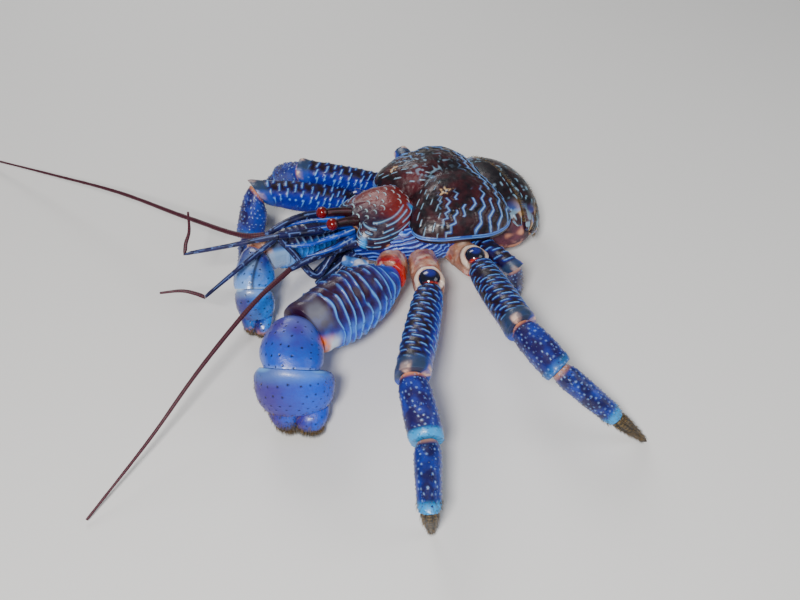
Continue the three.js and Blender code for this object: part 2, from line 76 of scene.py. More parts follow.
def ease(low: float, high: float, x: Array) -> Array:
    """A smooth step from 0 at low to 1 at high."""
    t = np.clip((x - low) / (high - low), 0.0, 1.0)
    return t * t * (3.0 - 2.0 * t)


def band(x: Array, half: float, soft: float) -> Array:
    """1 within half of zero, falling to 0 over soft."""
    return 1.0 - ease(half, half + soft, np.abs(x))


def lot(i: Array, j: Array, seed: float) -> Array:
    """A fixed random number from 0 to 1 for each pair of whole numbers."""
    return np.mod(np.sin(i * 127.1 + j * 311.7 + seed * 74.7) * 43758.5453, 1.0)


def cloud(p: Array, size: float, seed: float = 0.0) -> Array:
    """Smooth random values from 0 to 1 over space.

    Args:
        p: points, one per row, in millimetres.
        size: the distance over which the values change.
        seed: picks the pattern.

    Returns:
        One value per point.
    """
    q = p / size
    cell = np.floor(q)
    t = q - cell
    t = t * t * (3.0 - 2.0 * t)
    total = np.zeros(len(p))
    for dx in (0, 1):
        for dy in (0, 1):
            for dz in (0, 1):
                corner = cell + (dx, dy, dz)
                value = lot(corner[:, 0] + 57.0 * corner[:, 2], corner[:, 1], seed)
                share = np.abs(1 - dx - t[:, 0]) * np.abs(1 - dy - t[:, 1]) * np.abs(1 - dz - t[:, 2])
                total += value * share
    return total


def through(knots: Array, values: Array, at: Array) -> Array:
    """A smooth curve through values at knots, read at other places.

    Args:
        knots: rising positions.
        values: one row per knot.
        at: the positions to read.

    Returns:
        One row per position.
    """
    values = np.asarray(values, float)
    if values.ndim == 1:
        return through(knots, values[:, None], at)[:, 0]
    slopes = np.gradient(values, knots, axis=0)
    i = np.clip(np.searchsorted(knots, at, side="right") - 1, 0, len(knots) - 2)
    width = (knots[i + 1] - knots[i])[:, None]
    t = ((at - knots[i]) / (knots[i + 1] - knots[i]))[:, None]
    first = (2 * t**3 - 3 * t**2 + 1) * values[i] + (t**3 - 2 * t**2 + t) * width * slopes[i]
    return first + (3 * t**2 - 2 * t**3) * values[i + 1] + (t**3 - t**2) * width * slopes[i + 1]


def centripetal(points: Sequence[Sequence[float]], count: int) -> Array:
    """A centripetal curve through points, with the same number of steps between each two.

    Args:
        points: the points that the curve passes through.
        count: how many points to return.

    Returns:
        Points along the curve.
    """
    p = np.array(points, float)
    p = np.vstack([2 * p[0] - p[1], p, 2 * p[-1] - p[-2]])
    place = np.linspace(0, len(points) - 1, count)
    i = np.minimum(place.astype(int), len(points) - 2)
    t = (place - i)[:, None]
    a, b, c, d = p[i], p[i + 1], p[i + 2], p[i + 3]
    gap = [
        np.maximum(np.linalg.norm(v - u, axis=1, keepdims=True) ** 0.5, 1e-6) for u,
        v in ((a, b), (b, c), (c, d))
    ]
    start = ((b - a) / gap[0] - (c - a) / (gap[0] + gap[1]) + (c - b) / gap[1]) * gap[1]
    end = ((c - b) / gap[1] - (d - b) / (gap[1] + gap[2]) + (d - c) / gap[2]) * gap[1]
    return b + start * t + (-3 * b + 3 * c - 2 * start - end) * t**2 + (2 * b - 2 * c + start + end) * t**3


def rounded(angle: Array, power: float) -> tuple[Array, Array]:
    """Cosine and sine squared off by a power: 2 is round, more is boxier."""
    c, s = np.cos(angle), np.sin(angle)
    return np.sign(c) * np.abs(c) ** (2 / power), np.sign(s) * np.abs(s) ** (2 / power)


# ---- Colours and finishes


def paint(code: str) -> tuple[float, float, float, float]:
    """A colour written as six hex digits, as linear light.

    Args:
        code: the six hex digits.

    Returns:
        Red, green, blue and alpha.
    """
    parts = [int(code[i : i + 2], 16) / 255 for i in (0, 2, 4)]
    linear = [c / 12.92 if c <= 0.04045 else ((c + 0.055) / 1.055) ** 2.4 for c in parts]
    return (*linear, 1.0)


@dataclass(frozen=True)
class ShellFinish:
    """Glossy shell whose colours follow the masks painted on its mesh.

    The masks are line (pale crests), pit (dark dots), tone (from the deep to the bright
    colour), warm (cream and orange near the joints) and glow (bright cyan marks).
    """

    name: str
    deep: str
    bright: str
    line: str = "A9D6F2"
    pit: str = "05060F"
    warm: str = "E8A987"
    glow: str = "4FC8F5"
    mottle: float = 0.35
    rough: tuple[float, float] = (0.22, 0.42)
    grain: float = 0.25
    coat: float = 0.5

    def material(self) -> bpy.types.Material:
        """Returns the finish as a node material, made once."""
        made = bpy.data.materials.get(self.name)
        return made or self._build()

    def _build(self) -> bpy.types.Material:
        """Builds the node tree.

        Returns:
            The new material.
        """
        material = bpy.data.materials.new(self.name)
        material.use_nodes = True
        nodes, links = material.node_tree.nodes, material.node_tree.links
        shader = nodes["Principled BSDF"]
        place = nodes.new("ShaderNodeTexCoord").outputs["Object"]

        def noise(scale: float, detail: float) -> bpy.types.NodeSocket:
            """Adds a noise texture.

            Args:
                scale: how many features in a metre.
                detail: how many finer layers it has.

            Returns:
                The socket of its value.
            """
            node = nodes.new("ShaderNodeTexNoise")
            node.inputs["Scale"].default_value = scale
            node.inputs["Detail"].default_value = detail
            links.new(place, node.inputs["Vector"])
            return node.outputs["Fac"]

        def span(
            value: bpy.types.NodeSocket, low: float, high: float, out: tuple[float, float]
        ) -> bpy.types.NodeSocket:
            """Maps a value from one range to another.

            Args:
                value: the socket to read.
                low: the start of its range.
                high: the end of its range.
                out: the range to map to.

            Returns:
                The socket of the result.
            """
            node = nodes.new("ShaderNodeMapRange")
            node.inputs["From Min"].default_value = low
            node.inputs["From Max"].default_value = high
            node.inputs["To Min"].default_value = out[0]
            node.inputs["To Max"].default_value = out[1]
            links.new(value, node.inputs["Value"])
            return node.outputs["Result"]

        def mask(name: str) -> bpy.types.NodeSocket:
            """Adds a reader for a mask of the mesh.

            Args:
                name: the mask.

            Returns:
                The socket of its value.
            """
            node = nodes.new("ShaderNodeAttribute")
            node.attribute_name = name
            return node.outputs["Fac"]

        def mixed(share: bpy.types.NodeSocket, first: object, second: object) -> bpy.types.NodeSocket:
            """Mixes two colours.

            Args:
                share: the share of the second.
                first: a hex colour or a socket.
                second: a hex colour or a socket.

            Returns:
                The socket of the mix.
            """
            node = nodes.new("ShaderNodeMix")
            node.data_type = "RGBA"
            links.new(share, node.inputs["Factor"])
            for key, value in (("A", first), ("B", second)):
                socket = [s for s in node.inputs if s.name == key and s.type == "RGBA"][0]
                if isinstance(value, str):
                    socket.default_value = paint(value)
                else:
                    links.new(value, socket)
            return [s for s in node.outputs if s.type == "RGBA"][0]

        def summed(first: bpy.types.NodeSocket, second: bpy.types.NodeSocket) -> bpy.types.NodeSocket:
            """Adds two values, held between 0 and 1.

            Args:
                first: a socket.
                second: another socket.

            Returns:
                The socket of the sum.
            """
            node = nodes.new("ShaderNodeMath")
            node.operation = "ADD"
            node.use_clamp = True
            links.new(first, node.inputs[0])
            links.new(second, node.inputs[1])
            return node.outputs[0]

        blotch = span(noise(160.0, 3.0), 0.3, 0.7, (-self.mottle / 2, self.mottle / 2))
        colour = mixed(summed(mask("tone"), blotch), self.deep, self.bright)
        freckle = span(noise(900.0, 2.0), 0.42, 0.8, (0.0, 0.35))
        colour = mixed(freckle, colour, self.deep)
        for name, value in (("warm", self.warm), ("line", self.line), ("glow", self.glow), ("pit", self.pit)):
            colour = mixed(mask(name), colour, value)
        links.new(colour, shader.inputs["Base Color"])
        links.new(span(noise(420.0, 4.0), 0.3, 0.7, self.rough), shader.inputs["Roughness"])
        shader.inputs["Coat Weight"].default_value = self.coat
        shader.inputs["Coat Roughness"].default_value = 0.16
        bump = nodes.new("ShaderNodeBump")
        bump.inputs["Strength"].default_value = self.grain
        bump.inputs["Distance"].default_value = 0.0004
        links.new(noise(1300.0, 3.0), bump.inputs["Height"])
        links.new(bump.outputs["Normal"], shader.inputs["Normal"])
        return material


MAROON = ShellFinish(
    "maroon", "0C0410", "5A1420", "9CCBEA", warm="D8B080", glow="2E74E8", mottle=0.6, rough=(0.3, 0.5),
    coat=0.15
)
MAROON_SHIELD = ShellFinish(
    "maroon_shield", "220C2A", "74160F", "B4D8E4", warm="E0A070", glow="2A9CEC", mottle=0.5, rough=(0.3, 0.5),
    coat=0.15
)
CHEEK_BLUE = ShellFinish(
    "cheek_blue", "081478", "2C0718", "9CC8FA", glow="1C64F0", mottle=0.4, rough=(0.3, 0.45), coat=0.15
)
LEG_BLUE = ShellFinish(
    "leg_blue", "1A0618", "0A28B4", "6CB4FF", warm="EFC0A0", glow="2E7BFA", mottle=0.35, rough=(0.3, 0.45),
    coat=0.15
)
# The pale glow colours of CLAW_VIOLET and RIGHT_ARM colour the painted sheen on the smooth end of each claw's
# merus and the pale band beside its knuckle.
CLAW_VIOLET = ShellFinish(
    "claw_violet", "2E0A2C", "0C48CC", "5CA8FA", warm="F0843A", glow="DDEEFF", mottle=0.35, rough=(0.3, 0.45),
    coat=0.15
)
RIGHT_ARM = ShellFinish("right_arm", "2A1A4C", "128CFA", "9CC4EE", warm="F6B890", glow="D8F4FF", mottle=0.25)
KNUCKLE = ShellFinish(
    "knuckle_violet", "3E2C90", "0C50CC", "7C9CE4", warm="EA7420", mottle=0.35, rough=(0.32, 0.45), coat=0.15
)
LEG_KNUCKLE = ShellFinish(
    "leg_knuckle", "1C1052", "1E44BE", "8CB0EC", warm="E8946A", glow="1AA0E8", mottle=0.5, rough=(0.3, 0.45),
    coat=0.15
)
SHANK = ShellFinish(
    "shank_blue", "120E4C", "1040BC", "8CB4EC", warm="C08870", glow="12A0EC", mottle=0.5, rough=(0.3, 0.45),
    coat=0.15
)
PALM_BLUE = ShellFinish(
    "palm_blue", "34208A", "0450D8", "7CC0FF", warm="5C4018", pit="04040C", mottle=0.2, rough=(0.32, 0.45),
    coat=0.15
)
PALE_CLAW = ShellFinish("pale_claw", "2C2A80", "1080F0", "C4E8FF", warm="EE9460", glow="8CE6FA", mottle=0.3)
ROOT_CREAM = ShellFinish("root_cream", "8A4438", "DDA888", "F2DCC8", warm="B81E0E", pit="1A0A12", mottle=0.4)
# DOME_NAVY's bright colour is used only for the painted highlight on the top of each boss.
DOME_NAVY = ShellFinish(
    "dome_navy", "03051E", "1E2A9A", "8FA8E8", warm="D8361A", mottle=0.1, rough=(0.06, 0.14), grain=0.0,
    coat=1.0
)
HORN = ShellFinish("dark_horn", "120C08", "4C3A1C", "8C7446", mottle=0.5, rough=(0.45, 0.65), coat=0.1)
SKIN = ShellFinish(
    "rump_skin", "1C1026", "6A3444", "C58A80", warm="D89070", mottle=0.6, rough=(0.5, 0.7), coat=0.1
)
FEELER = ShellFinish("feeler_ringed", "12000A", "30061A", "64142E", mottle=0.2, rough=(0.4, 0.55), coat=0.0)
PLATE_PALE = ShellFinish(
    "pale_plate", "2C6CC8", "7CB4EE", "E8DCC8", warm="D8A888", mottle=0.3, rough=(0.3, 0.45), coat=0.15
)
EYE_STALK = ShellFinish("eye_stalk", "12040C", "3A0A12", "5C3440", mottle=0.4, rough=(0.3, 0.5), coat=0.1)
STALK = ShellFinish(
    "stalk_violet", "08061E", "1E2060", "6C8CD0", warm="E0A898", mottle=0.4, rough=(0.3, 0.45), coat=0.1
)
SCALE_BLUE = ShellFinish("scale_blue", "0B1660", "1E56D8", "A8C8F0", warm="E0A898", mottle=0.4)
CORNEA = ShellFinish(
    "cornea_red", "1A0003", "7C0205", pit="0A0004", mottle=0.15, rough=(0.04, 0.08), grain=0.0, coat=0.6
)
BRISTLE_FINISH = ShellFinish(
    "bristle_gold", "1C1208", "9A763A", mottle=0.5, rough=(0.5, 0.7), grain=0.0, coat=0.0
)


# ---- Meshes


@dataclass
class Coat:
    """What a marking paints on a surface: a height in millimetres and the masks, per vertex."""

    height: Array
    masks: dict[str, Array]

    @classmethod
    def bare(cls, count: int) -> "Coat":
        """A coat with nothing on it."""
        return cls(np.zeros(count), {name: np.zeros(count) for name in MASKS})

    def lay(self, name: str, value: Array) -> None:
        """Lays a mask over what is there, keeping the stronger of the two."""
        self.masks[name] = np.maximum(self.masks[name], np.clip(value, 0.0, 1.0))


@dataclass
class Surface:
    """A mesh under construction: template topology with its own places and coat."""

    name: str
    mesh: bpy.types.Mesh
    points: Array
    coat: Coat

    def finish(
        self, finish: ShellFinish, node: str, slot: str, replaced: Sequence[str] = ()
    ) -> bpy.types.Object:
        """Writes the places and the coat, dresses the piece and hands it to the frame.

        Args:
            finish: the material.
            node: the CAD node that the piece stands for, or an empty string.
            slot: the record's material slot; not used.
            replaced: further nodes that it stands for.

        Returns:
            The finished object.
        """
        mesh = self.mesh
        mesh.vertices.foreach_set("co", self.points.astype(np.float32).ravel())
        outward(mesh)
        normals = np.zeros(len(self.points) * 3, np.float32)
        mesh.vertex_normals.foreach_get("vector", normals)
        moved = self.points + normals.reshape(-1, 3) * self.coat.height[:, None]
        moved[:, 2] = np.maximum(moved[:, 2], 0.0)
        moved = (moved - (ORIGIN_X, 0.0, 0.0)) * MM
        mesh.vertices.foreach_set("co", moved.astype(np.float32).ravel())
        for key in MASKS:
            layer = mesh.attributes.new(key, "FLOAT", "POINT")
            layer.data.foreach_set("value", self.coat.masks[key].astype(np.float32))
        mesh.materials.append(finish.material())
        for polygon in mesh.polygons:
            polygon.use_smooth = True
        mesh.update()
        piece = bpy.data.objects.new(self.name, mesh)
        bpy.context.scene.collection.objects.link(piece)
        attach(piece, BODY)
        if node:
            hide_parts(node, *replaced)
        LOG.info("%s: %d faces", self.name, len(mesh.polygons))
        return piece


def tube_mesh(name: str, stations: int, columns: int) -> tuple[bpy.types.Mesh, Array, Array]:
    """A closed tube of rings, from a cone whose upright edges are subdivided.

    Args:
        name: the mesh's name.
        stations: how many rings.
        columns: vertices in a ring.

    Returns:
        The mesh, and each vertex's station and column.
    """
    bm = bmesh.new()
    bmesh.ops.create_cone(
        bm, cap_ends=True, cap_tris=False, segments=columns, radius1=1.0, radius2=1.0, depth=2.0
    )
    rungs = [e for e in bm.edges if abs(e.verts[0].co.z - e.verts[1].co.z) > 1.0]
    bmesh.ops.subdivide_edges(bm, edges=rungs, cuts=stations - 2)
    mesh = bpy.data.meshes.new(name)
    bm.to_mesh(mesh)
    bm.free()
    co = np.zeros(len(mesh.vertices) * 3, np.float32)
    mesh.vertices.foreach_get("co", co)
    co = co.reshape(-1, 3)
    station = np.rint((co[:, 2] + 1) / 2 * (stations - 1)).astype(int)
    turn = np.arctan2(co[:, 1], co[:, 0]) / math.tau - 0.25
    column = np.mod(np.rint(turn * columns), columns).astype(int)
    return mesh, station, column


def ball_mesh(name: str, around: int, down: int) -> tuple[bpy.types.Mesh, Array, Array]:
    """A unit ball, with each vertex's angle around and angle down from the top.

    Args:
        name: the mesh's name.
        around: segments around.
        down: rings from pole to pole.

    Returns:
        The mesh and the two angles per vertex.
    """
    bm = bmesh.new()
    bmesh.ops.create_uvsphere(bm, u_segments=around, v_segments=down, radius=1.0)
    mesh = bpy.data.meshes.new(name)
    bm.to_mesh(mesh)
    bm.free()
    co = np.zeros(len(mesh.vertices) * 3, np.float32)
    mesh.vertices.foreach_get("co", co)
    co = co.reshape(-1, 3).astype(float)
    turn = np.mod(np.arctan2(co[:, 1], co[:, 0]), math.tau)
    return mesh, turn, np.arccos(np.clip(co[:, 2], -1.0, 1.0))


def heading(turn: Array, fall: Array) -> Array:
    """The way out of a ball at an angle around and an angle down from the top."""
    return np.stack([np.cos(turn) * np.sin(fall), np.sin(turn) * np.sin(fall), np.cos(fall)], 1)


def closed_ends(station: Array, rows: int, rim: int) -> tuple[Array, Array, Array]:
    """Shares out a tube's rings between its length and the rims that close its two ends.

    Args:
        station: each vertex's ring.
        rows: the rings along the length.
        rim: the rings that close each end.

    Returns:
        The share of the length, the ring within a rim (0 or less along the length) and how
        far the ring narrows.
    """
    share = np.clip((station - rim) / (rows - 1), 0.0, 1.0)
    over = np.maximum(rim - station, station - (rows - 1 + rim))
    shrink = np.where(over > 0, np.cos(np.clip(over, 0, rim) / (rim + 0.6) * math.pi / 2) ** 0.5, 1.0)
    return share, over, shrink


def outward(mesh: bpy.types.Mesh) -> None:
    """Turns a closed mesh's faces outwards.

    Args:
        mesh: the mesh to mend.
    """
    bm = bmesh.new()
    bm.from_mesh(mesh)
    bmesh.ops.recalc_face_normals(bm, faces=bm.faces[:])
    bm.to_mesh(mesh)
    bm.free()


# ---- Markings of the limbs


class Marking(Enum):
    """How a length of a limb is sculpted and coloured."""

    STREAKS = "short pale cross ridges in rows"
    RIDGES = "long pale cross ridges"
    SPOTS = "pale tubercles with dark dots"
    PITS = "dark pits in a quincunx"
    ROOT = "cream with a warm blush"
    HORN = "grooved dark horn"
    RINGS = "fine rings"
    PLAIN = "mottled only"


@dataclass
class Site:
    """Where each vertex of a limb length lies on its skin."""

    share: Array
    angle: Array
    length: float
    girth: float
    points: Array
    seed: float

    def cells(self, long: float, wide: float, lean: float = 0.0) -> tuple[Array, Array, Array, Array]:
        """Divides the skin into staggered cells.

        Args:
            long: a cell's size along the limb, in millimetres.
            wide: its size around the limb.
            lean: how far the cells slant.

        Returns:
            Row and column numbers, and the place in the cell along and around, in millimetres.
        """
        count = max(3, round(self.girth / wide))
        row = self.share * self.length / long
        i = np.floor(row)
        c = self.angle / math.tau * count + 0.5 * np.mod(i, 2) + lean * (row - i - 0.5)
        j = np.floor(c)
        width = self.girth / count
        jog = (lot(i, np.mod(j, count), self.seed + 3) - 0.5) * 0.35
        return i, np.mod(j, count), (row - i - 0.5 + jog) * long, (c - j - 0.5) * width

    def coat(self, marking: Marking) -> Coat:
        """The coat of a marking.

        Args:
            marking: which one.

        Returns:
            Heights and masks.
        """
        coat = Coat.bare(len(self.share))
        painter: Callable[[Coat], None] = getattr(self, "_" + marking.name.lower())
        painter(coat)
        swell = cloud(self.points, 5.0, self.seed) - 0.5
        coat.height += 0.25 * swell
        return coat

    def turned(self) -> Array:
        """The angle round the limb from -pi to pi, 0 on top."""
        return np.mod(self.angle + math.pi, math.tau) - math.pi

    def _streaks(self, coat: Coat) -> None:
        """Staggered pale streaks, haloed in blue, on the dark upper side, and bright blue beneath.

        Args:
            coat: the coat that it adds to.
        """
        i, j, along, around = self.cells(4.6, 6.4, 0.2)
        pick = lot(i, j, self.seed)
        turned = self.turned()
        middle = ease(0.04, 0.1, self.share) * (1 - ease(0.84, 0.92, self.share))
        upper = ease(-0.35, 0.1, np.cos(turned))
        on = middle * upper * (pick > 0.06)
        slant = along + 0.3 * around
        reach = 1.3 + 1.1 * pick
        core = band(slant, 0.14, 0.42) * band(around, reach, 0.8) * on
        halo = band(slant, 0.5, 1.4) * band(around, reach + 0.5, 1.3) * on
        coat.lay("line", core * (0.65 + 0.35 * lot(i, j, self.seed + 2)))
        coat.lay("tone", 0.4 * halo)
        coat.height += 0.4 * core + 0.2 * halo
        coat.lay("tone", 0.85 * ease(-0.45, -0.9, np.sin(turned)))
        coat.lay("tone", 0.95 * ease(0.1, -0.5, np.cos(turned)))
        dot = 1 - ease(0.35, 0.95, np.hypot(along, (turned + 1.3) * self.girth / math.tau))
        coat.lay("line", 0.85 * dot * middle)
        coat.lay("line", 0.1 * ease(0.85, 0.9, self.share))
        for place in (0.4, -1.2):
            condyle = band(turned - place, 0.16, 0.26) * ease(0.92, 0.98, self.share)
            coat.lay("warm", condyle * (0.35 + 0.65 * ease(0.4, 0.6, cloud(self.points, 2.0, self.seed + 5))))
            coat.height += 0.4 * condyle

    def _ridges(self, coat: Coat) -> None:
        """Long uneven ridges across the limb, broken into dashes near its pale blue lower edge.

        Args:
            coat: the coat that it adds to.
        """
        count = 10.0
        turned = self.turned()
        low = ease(0.15, -0.6, np.cos(turned))
        wave = 0.9 * (cloud(self.points, 11.0, self.seed) - 0.5) + 0.14 * np.sin(turned * 3.0)
        row = (self.share - 0.05) / 0.78 * count + wave
        i = np.floor(row)
        pitch = self.length * 0.78 / count
        piece = turned * 3.4 + 0.7 * lot(i, 0.0 * i, self.seed)
        j = np.floor(piece)
        jog = (lot(i, j, self.seed) - 0.5) * 0.9 * low
        offset = (row - i - 0.5) * pitch + jog
        gate = 1 - band(piece - j - 0.5 - 0.5, 0.04, 0.1) * low * (lot(i, j, self.seed + 4) > 0.3)
        gate = gate * (1 - 0.8 * ease(0.75, 1.0, np.cos(turned)) * (lot(i, j, self.seed + 6) > 0.4))
        inside = ease(0.03, 0.08, self.share) * (1 - ease(0.78, 0.86, self.share))
        weight = 0.55 + 0.9 * cloud(self.points, 4.5, self.seed + 11)
        gate = gate * ease(0.12, 0.3, cloud(self.points, 6.0, self.seed + 12) + 0.35 * low)
        ridge = band(offset, 0.22 * weight, 0.55 * weight) * inside * gate
        halo = band(offset, 0.5, 1.7) * inside * gate
        coat.lay("line", ridge * (0.9 - 0.35 * ease(0.4, 0.95, np.cos(turned))))
        coat.lay("tone", 0.3 * halo)
        coat.height += 0.55 * ridge + 0.45 * halo
        coat.lay("tone", low)
        coat.lay("tone", 0.75 * ease(0.4, 0.02, self.share))
        coat.lay("line", 0.35 * low * ease(0.45, 0.8, cloud(self.points, 4.0, self.seed + 8)))
        smooth = ease(0.8, 0.88, self.share)
        # Painted sheen: a faint pale glow, broken by noise, on the smooth end of the length, standing in for
        # light reflected off the glossy shell.
        coat.lay("glow", 0.16 * smooth * ease(0.3, 0.75, cloud(self.points, 9.0, self.seed + 9)))
        condyle = band(turned + 2.5, 0.38, 0.4) * ease(0.86, 0.96, self.share)
        coat.lay("warm", condyle)
        coat.lay(
            "glow",
            band(turned + 2.5, 0.2, 0.5) * ease(0.8, 0.9, self.share) * (1 - ease(0.93, 0.98, self.share))
        )
        coat.height += 0.8 * condyle

    def _spots(self, coat: Coat) -> None:
        """Low pale tubercles, each with a dark dot in front of it.

        Args:
            coat: the coat that it adds to.
        """
        i, j, along, around = self.cells(2.6, 2.7)
        pick = lot(i, j, self.seed)
        du, dv = along, around + (lot(i, j, self.seed + 1) - 0.5) * 1.2
        keep = (pick > 0.35) * 1.0
        bead = (1 - ease(0.15, 0.72, np.hypot(du, dv * (0.7 + 0.5 * pick)))) * keep
        coat.lay("line", bead * (0.3 + 0.6 * lot(i, j, self.seed + 2)))
        coat.height += 0.4 * bead
        coat.lay("pit", (1 - ease(0.1, 0.5, np.hypot(du - 1.0, dv))) * keep * 0.85)
        turned = self.turned()
        coat.lay("tone", 0.55 * ease(0.35, 0.75, cloud(self.points, 5.0, self.seed + 4)))
        coat.lay("tone", 0.6 * ease(-0.3, -0.95, np.sin(turned)))
        coat.lay("glow", ease(0.82, 0.92, self.share) * 0.9)
        coat.lay("warm", ease(0.1, 0.02, self.share) * 0.9)

    def _pits(self, coat: Coat) -> None:
        """A smooth skin with dark pits.

        Args:
            coat: the coat that it adds to.
        """
        i, j, along, around = self.cells(3.7, 4.3)
        jolt = lot(i, j, self.seed) - 0.5
        near = np.hypot(along, around + jolt * 0.9)
        pit = 1 - ease(0.22, 0.62, near)
        inside = ease(0.1, 0.16, self.share) * (lot(i, j, self.seed + 2) > 0.1)
        coat.lay("pit", pit * inside)
        coat.height -= 0.3 * pit * inside
        coat.height += 0.14 * (1 - ease(0.5, 1.5, near)) * inside

    def _root(self, coat: Coat) -> None:
        """Cream skin with a red blush and fine wrinkles.

        Args:
            coat: the coat that it adds to.
        """
        coat.lay("tone", cloud(self.points, 6.0, self.seed))
        coat.lay("warm", 0.8 * ease(0.6, 0.75, cloud(self.points, 5.0, self.seed + 1)))
        coat.lay("line", 0.5 * ease(0.62, 0.8, cloud(self.points, 3.0, self.seed + 2)))
        coat.lay("pit", 0.35 * ease(0.6, 0.8, cloud(self.points, 2.0, self.seed + 3)))
        coat.height += 0.5 * (cloud(self.points, 2.2, self.seed) - 0.5)

    def _horn(self, coat: Coat) -> None:
        """Lengthwise grooves with rows of dark dots.

        Args:
            coat: the coat that it adds to.
        """
        groove = 0.5 + 0.5 * np.cos(self.angle * 8.0)
        coat.height += 0.3 * groove - 0.15
        coat.lay("tone", groove * 0.6)
        _, _, along, around = self.cells(2.2, 1.9)
        dot = 1 - ease(0.25, 0.6, np.hypot(along, around))
        coat.lay("pit", dot * 0.9)
        coat.lay("line", 0.6 * groove * band(along - 0.8, 0.3, 0.3))

    def _rings(self, coat: Coat) -> None:
        """Fine rings along a feeler.

        Args:
            coat: the coat that it adds to.
        """
        ring = 0.5 + 0.5 * np.cos(self.share * self.length / 1.5 * math.tau)
        coat.height += 0.1 * ring
        coat.lay("line", 0.7 * ring)
        coat.lay("tone", 0.5 + 0.5 * self.share)

    def _plain(self, coat: Coat) -> None:
        """Mottling, a few pale flecks and pale edge lines along both sides.

        Args:
            coat: the coat that it adds to.
        """
        coat.lay("tone", cloud(self.points, 5.0, self.seed))
        coat.lay("line", 0.6 * ease(0.74, 0.85, cloud(self.points, 1.3, self.seed + 1)))
        for place in (-0.6, 2.2):
            edge = (
                band(self.turned() - place, 0.05, 0.16)
                * ease(0.3, 0.5, cloud(self.points, 4.0, self.seed + 2))
            )
            coat.lay("line", 0.7 * edge * (self.girth > 9.0))
            coat.height += 0.25 * edge * (self.girth > 9.0)


# ---- Limbs

Profile = Sequence[Sequence[float]]
PROFILES: dict[str, Profile] = {
    "merus": (
        (0, 0.62, 0.62), (0.07, 0.78, 0.78), (0.3, 0.95, 0.95), (0.6, 1, 1), (0.88, 1, 1), (0.96, 1.04, 1.04),
        (1, 0.98, 0.98)
    ),
    "carpus": (
        (0, 0.66, 0.66), (0.08, 0.8, 0.82), (0.4, 0.98, 1), (0.8, 1.02, 1.02), (0.95, 1, 1), (1, 0.92, 0.92)
    ),
    "propodus": (
        (0, 0.72, 0.72), (0.08, 0.88, 0.9), (0.4, 1, 1), (0.75, 0.92, 0.92), (0.95, 0.84, 0.84),
        (1, 0.76, 0.76)
    ),
    "dactylus": (
        (0, 0.8, 0.8), (0.12, 1, 1), (0.4, 0.86, 0.86), (0.72, 0.52, 0.52), (0.93, 0.2, 0.2), (1, 0.06, 0.06)
    ),
    "claw_merus": (
        (0, 0.4, 0.5), (0.06, 0.52, 0.66), (0.2, 0.78, 0.86), (0.45, 1, 1), (0.7, 1, 1),
        (0.88, 0.92, 0.95), (0.96, 0.9, 0.92), (1, 0.84, 0.86),
    ),
    "claw_carpus": (
        (0, 0.66, 0.72), (0.1, 0.86, 0.86), (0.45, 1.06, 1.04), (0.85, 1.04, 1.06), (1, 0.92, 0.94)
    ),
    "claw_palm": (
        (0, 0.8, 0.82), (0.08, 0.9, 0.92), (0.35, 1, 1), (0.7, 0.98, 0.99), (0.92, 0.89, 0.91),
        (1, 0.83, 0.86)
    ),
    "finger": ((0, 0.92, 0.86), (0.15, 1, 0.96), (0.5, 0.84, 0.82), (0.8, 0.56, 0.56), (1, 0.24, 0.24)),
    "slim": ((0, 0.78, 0.78), (0.15, 1, 1), (0.5, 0.96, 0.96), (0.8, 0.74, 0.74), (1, 0.3, 0.3)),
}
UP = vec(0, 0, 1)


@dataclass
class Length:
    """One length of a limb."""

    part: str
    profile: str
    half: tuple[float, float]
    marking: Marking
    finish: ShellFinish
    slot: str
    bow: Array = field(default_factory=lambda: vec(0, 0, 0))
    power: float = 2.3
    stations: int = 90
    columns: int = 96


